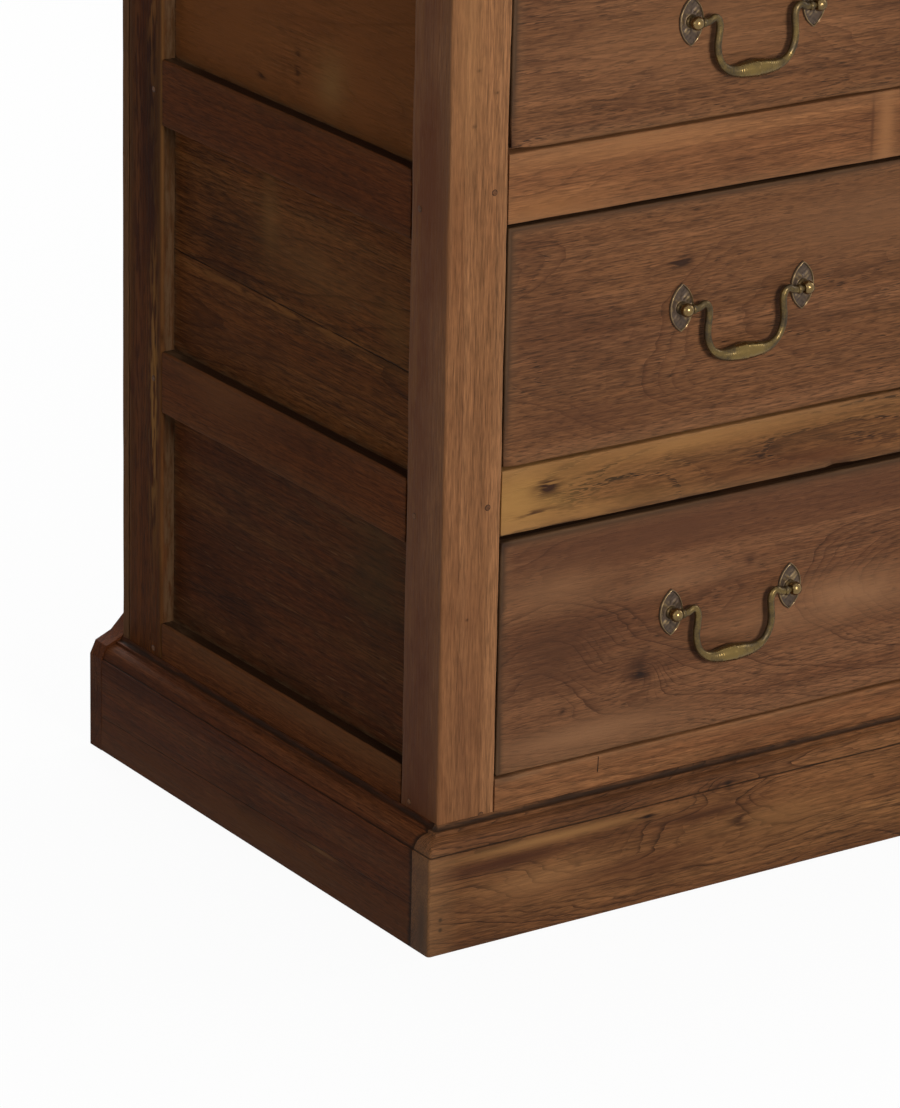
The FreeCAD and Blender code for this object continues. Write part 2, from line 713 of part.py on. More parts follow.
def build_stops():
    """Small blocks on the front rails that meet the back of each drawer front."""
    front_back = size.drawer_recess + size.front_thickness
    members = []
    for name, level in (("low", level_low_drawer), ("middle", level_middle_drawer), ("top", level_top_drawer)):
        stop = box("stop_" + name, (-half_opening + size.stop_inset, front_y + front_back, level),
                   (size.stop_length, size.front_rail_depth - front_back, size.stop_height))
        members += [stop, right_hand("stop_right_" + name, stop)]
    keep(group("drawer_stops", members))


def build_pegs():
    """Round pegs through every mortise and tenon, flush with the posts."""
    turned_back = Rotation(Vector(1, 0, 0), -90)
    turned_across = Rotation(Vector(0, 1, 0), 90)
    rear_face = front_y + carcass_depth
    cross_x = -half_width + size.post_side - size.peg_inset
    spots = []
    for name, level, height in front_rails:
        spots.append(("front_" + name, (cross_x, front_y, level + height / 2), turned_back))
    for name, level, height in rear_rails:
        spots.append(("rear_" + name, (cross_x, rear_face - size.peg_length, level + height / 2), turned_back))
    for name, level, height in side_rails:
        for place_name, y in (("fore", front_y + size.post_side - size.peg_inset),
                              ("aft", rear_face - size.post_side + size.peg_inset)):
            spots.append((place_name + "_" + name, (-half_width, y, level + height / 2), turned_across))
    members = []
    for name, corner, turned in spots:
        peg = document.addObject("Part::Cylinder", "peg_" + name)
        peg.setExpression("Radius", formula_of(size.peg_radius))
        peg.setExpression("Height", formula_of(size.peg_length))
        peg.Placement = Placement(Vector(), turned)
        place(peg, *corner)
        members += [peg, right_hand("peg_right_" + name, peg)]
    keep(group("rail_pegs", members))


# Drawers

def tail_outline(sketch, length, width, slope_run, tip_first):
    """Dovetail seen from the side: wider at its end than at its shoulder."""
    inset = slope_run / size.tail_slope
    if tip_first:
        trace(sketch, (0, 0), [(length, inset), (length, width - inset), (0, width)])
    else:
        trace(sketch, (0, inset), [(length, 0), (length, width), (0, width - inset)])


def front_rim(shape):
    """Edges round the face of a drawer front."""
    face = shape.BoundBox.YMin
    return ["Edge%d" % number for number, edge in enumerate(shape.Edges, start=1)
            if all(abs(vertex.Y - face) < 1e-3 for vertex in edge.Vertexes)]


def build_drawer(number, name, level, opening, extra_gap):
    """Dovetailed drawer box, its front pierced for the handle posts."""
    label = "drawer_%d_" % number
    half = half_opening - size.drawer_side_gap
    front_height = opening - size.drawer_foot_gap - size.drawer_top_gap - extra_gap
    side_height = front_height + size.drawer_foot_gap - size.drawer_side_step
    back_foot = size.bottom_level + size.bottom_thickness
    back_height = side_height - size.drawer_back_step - back_foot
    side_end = size.drawer_depth - size.drawer_back_thickness
    gap = size.joint_gap
    thick = size.drawer_side_thickness
    inner_half = half - thick
    groove = size.bottom_groove_depth
    front_pitch = side_height / size.front_tail_count
    front_tail_foot = front_pitch / 2 - size.front_tail_width / 2
    back_pitch = back_height / size.back_tail_count
    back_tail_foot = back_foot + back_pitch / 2 - size.back_tail_width / 2
    lap = size.front_thickness - size.front_tail_length
    home = (0, front_y + size.drawer_recess, level)
    axis_level = opening * size.handle_height_share
    axis_x = half_opening - size.handle_inset

    front = new_body(label + "front")
    place(front, *home)
    block(front, label + "front_board", (-half, 0, size.drawer_foot_gap),
          (2 * half, size.front_thickness, front_height))
    soften(front, front_rim, size.arris)
    finish_fillets()
    hollow(front, label + "front_groove", (-inner_half - groove, size.front_thickness - groove, size.bottom_level),
           (2 * inner_half + 2 * groove, groove, size.bottom_thickness))
    socket = sketch_on(front, label + "socket", "YZ_Plane",
                       (lap - gap, front_tail_foot - gap, -half))
    tail_outline(socket, size.front_tail_length + gap, size.front_tail_width + 2 * gap,
                 size.front_tail_length, True)
    first_socket = cut(front, socket, thick + gap, flip=True)
    mirrored = sketch_on(front, label + "socket_right", "YZ_Plane",
                         (lap - gap, front_tail_foot - gap, half))
    tail_outline(mirrored, size.front_tail_length + gap, size.front_tail_width + 2 * gap,
                 size.front_tail_length, True)
    repeat_row(front, first_socket, "Z_Axis", front_pitch, size.front_tail_count)
    last_socket = cut(front, mirrored, thick + gap)
    repeat_row(front, last_socket, "Z_Axis", front_pitch, size.front_tail_count)
    holes = sketch_on(front, label + "handle_holes", "XZ_Plane")
    for handle, centre in (("left", -axis_x), ("right", axis_x)):
        for end, side in (("near", -1), ("far", 1)):
            draw_circle(holes, centre + side * size.handle_spacing / 2, axis_level,
                        size.stem_radius + size.stem_gap, handle + "_" + end)
    cut(front, holes, size.front_thickness)
    keep(front)

    side = new_body(label + "side_left")
    place(side, *home)
    block(side, label + "side_board", (-half, size.front_thickness, 0),
          (thick, side_end - size.front_thickness, side_height))
    tail = sketch_on(side, label + "front_tail", "YZ_Plane", (lap, front_tail_foot, -half))
    tail_outline(tail, size.front_tail_length, size.front_tail_width, size.front_tail_length, True)
    first_tail = pad(side, tail, thick)
    repeat_row(side, first_tail, "Z_Axis", front_pitch, size.front_tail_count)
    rear_tail = sketch_on(side, label + "rear_tail", "YZ_Plane", (side_end, back_tail_foot, -half))
    tail_outline(rear_tail, size.drawer_back_thickness, size.back_tail_width, size.drawer_back_thickness, False)
    first_rear_tail = pad(side, rear_tail, thick)
    repeat_row(side, first_rear_tail, "Z_Axis", back_pitch, size.back_tail_count)
    hollow(side, label + "side_groove", (-inner_half - groove, size.front_thickness - size.front_tail_length,
                                         size.bottom_level),
           (groove, size.drawer_depth, size.bottom_thickness))
    keep_pair(side, label + "side_right")

    back = new_body(label + "back")
    place(back, *home)
    block(back, label + "back_board", (-half, side_end, back_foot),
          (2 * half, size.drawer_back_thickness, back_height))
    for hand, start, flip in (("left", -half, True), ("right", half, False)):
        notch = sketch_on(back, label + "back_socket_" + hand, "YZ_Plane",
                          (side_end, back_tail_foot - gap, start))
        tail_outline(notch, size.drawer_back_thickness, size.back_tail_width + 2 * gap,
                     size.drawer_back_thickness, False)
        first_notch = cut(back, notch, thick + gap, flip=flip)
        repeat_row(back, first_notch, "Z_Axis", back_pitch, size.back_tail_count)
    keep(back)

    bottom = new_body(label + "bottom")
    place(bottom, *home)
    reach = groove - size.panel_play
    block(bottom, label + "bottom_board", (-inner_half - reach, size.front_thickness - reach,
                                           size.bottom_level + gap),
          (2 * inner_half + 2 * reach, size.drawer_depth - size.front_thickness + reach,
           size.bottom_thickness - 2 * gap))
    keep(bottom)

    build_handles(label, home, axis_x, axis_level)


# Handles

def plate_outline(sketch, half_width_there, half_height):
    """Pointed oval of two equal arcs."""
    radius = (half_height * half_height + half_width_there * half_width_there) / (2 * half_width_there)
    trace(sketch, (0, -half_height), [(0, half_height, radius, 1), (0, -half_height, radius, 1)])


def build_plate(label, corner):
    """Backplate with a raised rim, a sunk field and a ring round the handle post."""
    body = new_body(label)
    place(body, *corner)
    outline = sketch_on(body, label + "_outline", "XZ_Plane")
    plate_outline(outline, size.plate_half_width, size.plate_half_height)
    pad(body, outline, size.plate_thickness)
    field = sketch_on(body, label + "_field", "XZ_Plane", (0, 0, size.plate_thickness))
    share = (size.plate_half_width - size.plate_rim) / size.plate_half_width
    plate_outline(field, size.plate_half_width - size.plate_rim, size.plate_half_height * share)
    cut(body, field, size.plate_dish)
    ring = sketch_on(body, label + "_ring", "XZ_Plane")
    draw_circle(ring, 0, 0, size.boss_radius)
    pad(body, ring, size.plate_thickness)
    hole = sketch_on(body, label + "_hole", "XZ_Plane", (0, 0, size.plate_thickness))
    draw_circle(hole, 0, 0, size.stem_radius + size.stem_gap)
    cut(body, hole, size.plate_thickness)
    return body


def build_post_head(label, corner, inner):
    """Handle post: round head with a flat side pierced for the pin, neck, and stem through the front."""
    body = new_body(label)
    place(body, *corner)
    ball = size.ball_radius
    neck = size.neck_radius
    face = size.handle_standoff
    plate = size.handle_standoff - size.plate_thickness
    join = root_of(ball * ball - neck * neck)
    stem_end = face + size.front_thickness + size.nut_thickness + size.stem_end
    profile = sketch_on(body, label + "_profile", "XY_Plane")
    trace(profile, (0, -ball), [
        (ball, 0, ball, 1), (neck, join, ball, 1), (neck, plate), (size.stem_radius, plate),
        (size.stem_radius, stem_end), (0, stem_end),
    ])
    revolve(body, profile, "V_Axis")
    flat = sketch_on(body, label + "_flat", "YZ_Plane", (-ball, -ball, inner * size.ball_flat))
    draw_rectangle(flat, 2 * ball, 2 * ball)
    cut(body, flat, ball, flip=inner > 0)
    bore = sketch_on(body, label + "_bore", "YZ_Plane", (0, 0, inner * size.ball_flat))
    draw_circle(bore, 0, 0, size.pin_radius + size.pin_gap)
    cut(body, bore, size.pin_engagement + size.collar_gap + size.bail_shift, flip=inner < 0)
    return body


def build_nut(label, corner):
    """Square nut inside the drawer."""
    body = new_body(label)
    place(body, *corner)
    side = size.nut_side
    outline = sketch_on(body, label + "_outline", "XZ_Plane", (-side / 2, -side / 2, 0))
    draw_rectangle(outline, side, side)
    pad(body, outline, size.nut_thickness, flip=True)
    hole = sketch_on(body, label + "_hole", "XZ_Plane")
    draw_circle(hole, 0, 0, size.stem_radius + size.stem_gap)
    cut(body, hole, size.nut_thickness)
    return body


def build_bail(label, corner):
    """Swan-neck bail: rod bent along lines and arcs, swelling grip, collars and pins."""
    body = new_body(label)
    place(body, *corner)
    arm = size.bail_half_width
    drop = size.bail_drop
    corner_radius = size.bail_corner_radius
    bend = size.bail_neck_radius
    rise = size.bail_neck_rise
    head_face = size.handle_spacing / 2 - size.ball_flat
    collar_face = head_face - size.collar_gap
    crown_x = arm + bend
    crown_centre = drop + rise - bend
    reach = root_of(4 * bend * bend - (bend + bend - rise) * (bend + bend - rise))
    path = sketch_on(body, label + "_path", "XZ_Plane", (0, -drop, 0))
    middle_x = crown_x + reach / 2
    middle_z = crown_centre + (2 * bend - rise) / 2
    trace(path, (0, 0), [
        (arm - corner_radius, 0), (arm, corner_radius, corner_radius, 1), (arm, crown_centre),
        (crown_x, drop + rise, bend, -1), (middle_x, middle_z, bend, -1),
        (crown_x + reach, drop, bend, 1),
    ], closed=False)
    ring = sketch_on(body, label + "_rod", "YZ_Plane", (0, -drop, 0))
    draw_circle(ring, 0, 0, size.bail_radius)
    rod = body.newObject("PartDesign::AdditivePipe", label + "_bent_rod")
    rod.Profile = ring
    rod.Spine = (path, ["Edge%d" % (index + 1) for index in range(6)])
    grip_half = size.grip_half_length
    grip = sketch_on(body, label + "_grip", "XZ_Plane", (0, -drop, 0))
    swell = size.grip_radius - size.bail_radius
    half_swell = size.bail_radius + swell / 2
    swell_radius = (grip_half / 2 * grip_half / 2 + swell / 2 * swell / 2) / swell
    trace(grip, (0, 0), [
        (grip_half, 0), (grip_half, size.bail_radius), (grip_half / 2, half_swell, swell_radius, -1),
        (0, size.grip_radius, swell_radius, 1),
    ])
    turned_grip = revolve(body, grip, "H_Axis")
    collar = sketch_on(body, label + "_collar", "XZ_Plane", (collar_face - size.collar_width, 0, 0))
    pin_end = size.collar_width + size.collar_gap + size.pin_engagement
    shoulder = size.collar_radius - size.collar_width / 4
    trace(collar, (0, 0), [
        (pin_end, 0), (pin_end, size.pin_radius), (size.collar_width, size.pin_radius),
        (size.collar_width, shoulder), (size.collar_width / 2, size.collar_radius), (0, shoulder),
    ])
    turned_end = revolve(body, collar, "H_Axis")
    mirror_image(body, [rod, turned_grip, turned_end], "YZ_Plane")
    return body


def build_handles(label, home, axis_x, axis_level):
    """Backplates, posts with their nuts and the two bails of one drawer."""
    plates = []
    posts = []
    face_y = home[1]
    axis_y = home[1] - size.handle_standoff
    axis_z = home[2] + axis_level
    nut_y = home[1] + size.front_thickness
    for hand, centre in (("left", -axis_x), ("right", axis_x)):
        for end, side in (("a", -1), ("b", 1)):
            x = centre + side * size.handle_spacing / 2
            name = label + hand + "_" + end
            plates.append(build_plate(name + "_plate", (x, face_y, axis_z)))
            posts.append(build_post_head(name + "_post", (x, axis_y, axis_z), -side))
            posts.append(build_nut(name + "_nut", (x, nut_y, axis_z)))
    keep(group(label + "backplates", plates))
    keep(group(label + "handle_posts", posts))
    for hand, centre in (("left", -axis_x), ("right", axis_x)):
        keep(build_bail(label + "bail_" + hand, (centre - size.bail_shift, axis_y, axis_z)))


def finish_fillets():
    """Round the edges that were asked for."""
    if fillet_jobs:
        document.recompute()
    while fillet_jobs:
        body, base, chooser, radius = fillet_jobs.pop(0)
        feature = body.newObject("PartDesign::Fillet", body.Label + "_softened")
        feature.Base = (base, chooser(base.Shape))
        feature.setExpression("Radius", formula_of(radius))
        body.Tip = feature


def check_document():
    """Stop if any object failed or any piece has no valid shape."""
    for thing in document.Objects:
        if "Invalid" in thing.State or "Error" in thing.State:
            raise RuntimeError("%s did not build: %s" % (thing.Label, thing.State))
    for piece in pieces:
        if piece.Shape.isNull() or not piece.Shape.isValid():
            raise RuntimeError("%s has no valid shape" % piece.Label)


def export_pieces():
    """Write one file per piece."""
    os.makedirs("parts", exist_ok=True)
    for piece in pieces:
        piece.Shape.exportStep(os.path.join("parts", piece.Label + ".step"))
    print("%d pieces written" % len(pieces))


build_posts()
build_rails()
build_side_panels()
build_back_boards()
build_top()
build_skirting()
build_runners()
build_stops()
build_pegs()
build_drawer(1, "top", level_top_drawer, size.upper_opening, 0)
build_drawer(2, "middle", level_middle_drawer, size.middle_opening, 0)
build_drawer(3, "low", level_low_drawer, size.low_opening, size.low_drawer_extra_gap)
document.recompute()
check_document()
export_pieces()
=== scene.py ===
"""Looks of a post and rail sideboard: worn boards, moulded skirting, swan-neck brass handles.

Every length is in metres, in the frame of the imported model: +X along the front, -Y out of the
front, +Z up, floor at zero.
"""
from __future__ import annotations

import logging
import math
from dataclasses import dataclass, field, replace
from enum import Enum
from functools import cached_property
from itertools import product
import bpy
import numpy as np
from mathutils import Matrix, Vector


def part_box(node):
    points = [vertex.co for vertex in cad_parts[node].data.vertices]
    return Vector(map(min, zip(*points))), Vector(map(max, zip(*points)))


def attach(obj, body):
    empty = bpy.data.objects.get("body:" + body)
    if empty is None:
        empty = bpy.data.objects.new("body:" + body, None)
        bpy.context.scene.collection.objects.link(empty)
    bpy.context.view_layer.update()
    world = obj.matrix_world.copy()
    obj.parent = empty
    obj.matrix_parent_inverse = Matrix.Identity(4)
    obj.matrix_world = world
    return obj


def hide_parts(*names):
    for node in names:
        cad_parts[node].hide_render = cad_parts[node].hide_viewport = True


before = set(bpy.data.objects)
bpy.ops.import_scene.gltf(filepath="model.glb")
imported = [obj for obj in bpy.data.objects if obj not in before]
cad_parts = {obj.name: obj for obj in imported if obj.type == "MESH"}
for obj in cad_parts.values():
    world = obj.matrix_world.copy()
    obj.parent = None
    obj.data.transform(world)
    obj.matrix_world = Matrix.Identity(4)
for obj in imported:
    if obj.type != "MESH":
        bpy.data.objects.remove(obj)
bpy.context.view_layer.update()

log = logging.getLogger("sideboard")

Colour = tuple[float, float, float]
Point = tuple[float, float, float]
Pair = tuple[float, float]
MM = 0.001
SIDES = {"left": -1.0, "right": 1.0}
WHITE = (1.0, 1.0, 1.0, 1.0)


# Small mathematics

def rgba(colour: Colour) -> tuple[float, float, float, float]:
    """Linear light, with an alpha of one, of a colour written in 0 to 255 display steps."""
    display = np.array(colour, float) / 255.0
    light = np.where(display <= 0.04045, display / 12.92, ((display + 0.055) / 1.055) ** 2.4)
    return (*light.tolist(), 1.0)


def smooth_step(value: np.ndarray, low: float, high: float) -> np.ndarray:
    """Ease from 0 below low to 1 above high, by t*t*(3-2t)."""
    share = np.clip((value - low) / (high - low), 0.0, 1.0)
    return share * share * (3.0 - 2.0 * share)


def wobble(points: np.ndarray, seed: int, wavelength: float) -> np.ndarray:
    """Smooth random height between about -1 and 1.

    The height is a mean of nine plane sine waves with random directions and phases, whose lengths
    lie round the given one.

    Args:
        points: Places, one row each.
        seed: Number that fixes the random draw.
        wavelength: Typical length of a wave.

    Returns:
        One height per place.
    """
    random = np.random.default_rng(seed)
    count = 9
    directions = random.normal(size=(count, 3))
    directions /= np.linalg.norm(directions, axis=1, keepdims=True)
    waves = directions * (2.0 * math.pi / (wavelength * random.uniform(0.6, 1.7, size=(count, 1))))
    phases = random.uniform(0.0, 2.0 * math.pi, size=count)
    return np.sin(points @ waves.T + phases).mean(axis=1) * 2.0


def waves(points: np.ndarray, seed: int, *parts: Pair) -> np.ndarray:
    """Sum of smooth random heights, one for each pair of a height and a wavelength."""
    return sum(height * wobble(points, seed + k, length) for k, (height, length) in enumerate(parts))


def hill(distance: np.ndarray, reach: float) -> np.ndarray:
    """Soft hill: exp(-(distance/reach)^2)."""
    return np.exp(-(distance / reach) ** 2)


# Surfaces and meshes

@dataclass
class Surface:
    """Points with four-cornered faces, where a repeated corner makes a triangle.

    Attributes:
        points: Places, one row each.
        faces: Four point numbers per row.
        marks: Named values, one per point, that materials read.
    """

    points: np.ndarray
    faces: np.ndarray
    marks: dict[str, np.ndarray] = field(default_factory=dict)

    def welded(self) -> Surface:
        """Join points that share a place to a tenth of a micrometre."""
        keys = np.round(self.points * 1e7).astype(np.int64)
        _, first, index = np.unique(keys, axis=0, return_index=True, return_inverse=True)
        marks = {name: values[first] for name, values in self.marks.items()}
        return Surface(self.points[first], index.reshape(-1)[self.faces], marks)

    def outward(self) -> Surface:
        """Turn the faces over if the closed surface holds a negative volume."""
        a, b, c, d = (self.points[self.faces[:, k]] for k in range(4))
        volume = np.einsum("ij,ij->i", a, np.cross(b, c)) + np.einsum("ij,ij->i", a, np.cross(c, d))
        if volume.sum() < 0.0:
            return Surface(self.points, self.faces[:, ::-1].copy(), self.marks)
        return self


def joined(surfaces: list[Surface]) -> Surface:
    """Put several surfaces into one, each with its own points.

    Args:
        surfaces: Surfaces to join.

    Returns:
        One surface; a mark that a surface lacks is zero there.
    """
    starts = np.cumsum([0] + [len(one.points) for one in surfaces[:-1]])
    names = sorted({name for one in surfaces for name in one.marks})
    marks = {name: np.concatenate([one.marks.get(name, np.zeros(len(one.points))) for one in surfaces])
             for name in names}
    faces = np.concatenate([one.faces + start for one, start in zip(surfaces, starts)])
    return Surface(np.concatenate([one.points for one in surfaces]), faces, marks)


def grid_faces(rows: int, columns: int, wrap: bool = False) -> np.ndarray:
    """Faces of a grid of points in rows, with the last column joined to the first if asked."""
    numbers = np.arange(rows * columns).reshape(rows, columns)
    if wrap:
        numbers = np.concatenate([numbers, numbers[:, :1]], axis=1)
    corners = [numbers[:-1, :-1], numbers[:-1, 1:], numbers[1:, 1:], numbers[1:, :-1]]
    return np.stack([corner.reshape(-1) for corner in corners], axis=1)


def make_piece(node: str, surface: Surface, material: bpy.types.Material, body: str = "carcass",
               ending: str = "_worn", crease: float = 32.0) -> None:
    """Make the piece that stands for a node of the model and register it with the frame.

    Args:
        node: Node that it stands for.
        surface: Its closed surface.
        material: Its finish.
        body: Moving body that it rides on.
        ending: What its name adds to the node's.
        crease: Angle in degrees past which an edge stays sharp.
    """
    name = node + ending
    different = surface.faces != np.roll(surface.faces, 1, axis=1)
    totals = different.sum(axis=1)
    different[totals < 3] = False
    totals = totals[totals >= 3]
    corners = surface.faces[different]
    mesh = bpy.data.meshes.new(name)
    mesh.vertices.add(len(surface.points))
    mesh.vertices.foreach_set("co", surface.points.astype(np.float32).reshape(-1))
    mesh.loops.add(len(corners))
    mesh.loops.foreach_set("vertex_index", corners.astype(np.int32))
    mesh.polygons.add(len(totals))
    mesh.polygons.foreach_set("loop_start", (np.cumsum(totals) - totals).astype(np.int32))
    mesh.update(calc_edges=True)
    mesh.validate()
    mesh.shade_smooth()
    mesh.set_sharp_from_angle(angle=math.radians(crease))
    for mark, values in surface.marks.items():
        attribute = mesh.attributes.new(mark, "FLOAT", "POINT")
        attribute.data.foreach_set("value", values.astype(np.float32))
    mesh.materials.append(material)
    piece = bpy.data.objects.new(name, mesh)
    bpy.context.scene.collection.objects.link(piece)
    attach(piece, body)
    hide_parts(node)
    log.info("piece %s: %d points, rides on %s", name, len(surface.points), body)


def edge_lines(length: float, radius: float, step: float, turns: int = 4) -> np.ndarray:
    """Grid lines across a board: close together round its arrises, even between them.

    The lines inside a radius stand at r*(1 - tan(a)), a from 45 degrees down to 0, so that the
    rounded arris gets even segments.
    """
    angles = np.linspace(math.pi / 4, 0.0, turns + 1)
    near = radius * (1.0 - np.tan(angles))
    guard = 1.5 * radius + 0.3 * MM
    count = max(2, int(math.ceil((length - 2.0 * guard) / step)) + 1)
    middle = np.linspace(guard, length - guard, count)
    return np.concatenate([near, middle, (length - near)[::-1]])


THIN = 0.8 * MM
WEAR_REACH = 4.0 * MM


@dataclass(frozen=True)
class Chip:
    """A small piece broken out of an arris: a smooth dent of a depth and a reach."""

    place: Point
    reach: float
    depth: float


def worn_board(low: np.ndarray, high: np.ndarray, radii: Point, seed: int, step: float = 0.009,
               sway: float = 0.12 * MM, chips: tuple[Chip, ...] = (), uneven: float = 1.0) -> Surface:
    """Board with softened, uneven arrises and slightly uneven faces.

    A box grid is drawn in to an inner box and pushed out again by an ellipsoid of the given radii:
    p' = q + r*d/|d| with q = p held inside the inner box and d = (p - q)/r. The radii swing with a
    smooth random height along the board, and the faces sink by up to twice the sway. An arris with a
    rounding up to THIN doesn't count as worn.

    Args:
        low: Lowest corner.
        high: Highest corner.
        radii: Rounding along X, Y and Z.
        seed: Number that fixes the random draw.
        step: Spacing of the grid.
        sway: Unevenness of the faces.
        chips: Dents in the arrises.
        uneven: How much the rounding swings.

    Returns:
        Closed surface with the mark wear, which is 1 at a worn arris.
    """
    low, high, base = (np.array(value, float) for value in (low, high, radii))
    lines = [low[k] + edge_lines(high[k] - low[k], base[k], step) for k in range(3)]
    sides = []
    for axis in range(3):
        first, second = (axis + 1) % 3, (axis + 2) % 3
        u, v = np.meshgrid(lines[first], lines[second], indexing="ij")
        for end, place in ((0, low[axis]), (1, high[axis])):
            points = np.zeros((u.size, 3))
            points[:, axis] = place
            points[:, first] = u.reshape(-1)
            points[:, second] = v.reshape(-1)
            faces = grid_faces(len(lines[first]), len(lines[second]))
            sides.append(Surface(points, faces[:, ::-1] if end else faces))
    box = joined(sides).welded()
    points = box.points
    reach = np.minimum(points - low, high - points)
    arris = np.where(base > THIN, reach, 1.0)
    wear = hill(np.sort(np.where(arris < 1e-9, 0.0, arris), axis=1)[:, 1], WEAR_REACH)
    swing = 1.0 + uneven * waves(points, seed, (0.4, 0.09), (0.2, 0.025))[:, None]
    radius = base * np.clip(swing, 0.45, 1.7)
    inner = np.clip(points, low + radius, high - radius)
    away = (points - inner) / radius
    norm = np.linalg.norm(away, axis=1, keepdims=True)
    outward = away / np.maximum(norm, 1e-9)
    placed = inner + outward * radius
    sink = sway * (1.0 + waves(points, seed + 2, (0.5, 0.16), (0.5, 0.05)))
    placed -= outward * np.maximum(sink, 0.0)[:, None]
    for chip in chips:
        dent = chip.depth * hill(np.linalg.norm(points - np.array(chip.place), axis=1), chip.reach)
        placed -= outward * dent[:, None]
        wear = np.maximum(wear - dent / chip.depth, 0.0)
    return Surface(placed, box.faces, {"wear": wear}).outward()


def dents(*rows: tuple[float, float, float, float, float]) -> tuple[Chip, ...]:
    """Chips from rows of place, reach and depth, the last two in millimetres."""
    return tuple(Chip((x, y, z), reach * MM, depth * MM) for x, y, z, reach, depth in rows)


def swept(stations: np.ndarray, marks: dict[str, np.ndarray] | None = None) -> Surface:
    """Closed outline carried through a row of stations, with flat ends.

    Args:
        stations: Places, first by station, then round the outline.
        marks: Named values, one per point of the outline.

    Returns:
        Closed surface whose ends are fans round their middle points.
    """
    count, around = stations.shape[:2]
    middles = np.stack([stations[0].mean(axis=0), stations[-1].mean(axis=0)])
    ring = np.arange(around)
    after = np.roll(ring, -1)
    first, last = np.full(around, count * around), (count - 1) * around
    first_cap = np.stack([after, ring, first, first], axis=1)
    last_cap = np.stack([last + ring, last + after, first + 1, first + 1], axis=1)
    points = np.concatenate([stations.reshape(-1, 3), middles])
    faces = np.concatenate([grid_faces(count, around, wrap=True), first_cap, last_cap])
    made = {name: np.concatenate([np.tile(values, count), [values.mean()] * 2])
            for name, values in (marks or {}).items()}
    return Surface(points, faces, made).outward()


def turned(radii: np.ndarray, heights: np.ndarray, sides: int) -> np.ndarray:
    """Rings of a turned shape round the Y axis: (r*cos a, height, r*sin a), by ring and then angle."""
    angles = np.linspace(0.0, 2.0 * math.pi, sides, endpoint=False)
    rings = np.zeros((len(radii), sides, 3))
    rings[:, :, 0] = radii[:, None] * np.cos(angles)
    rings[:, :, 1] = heights[:, None]
    rings[:, :, 2] = radii[:, None] * np.sin(angles)
    return rings


# Materials

Value = "Wire | float | tuple"


class Wire:
    """Output of a node; arithmetic on it adds nodes to its recipe."""

    def __init__(self, recipe: Recipe, socket: bpy.types.NodeSocket) -> None:
        """Keep the recipe and the socket."""
        self.recipe = recipe
        self.socket = socket

    def __add__(self, other: Value) -> Wire:
        """Sum."""
        return self.recipe.number("ADD", self, other)

    def __sub__(self, other: Value) -> Wire:
        """Difference."""
        return self.recipe.number("SUBTRACT", self, other)

    def __mul__(self, other: Value) -> Wire:
        """Product."""
        return self.recipe.number("MULTIPLY", self, other)

    def scaled(self, factor: Value, plus: Value, clamp: bool = False) -> Wire:
        """Product with a factor, plus another value."""
        return self.recipe.number("MULTIPLY_ADD", self, factor, plus, clamp=clamp)


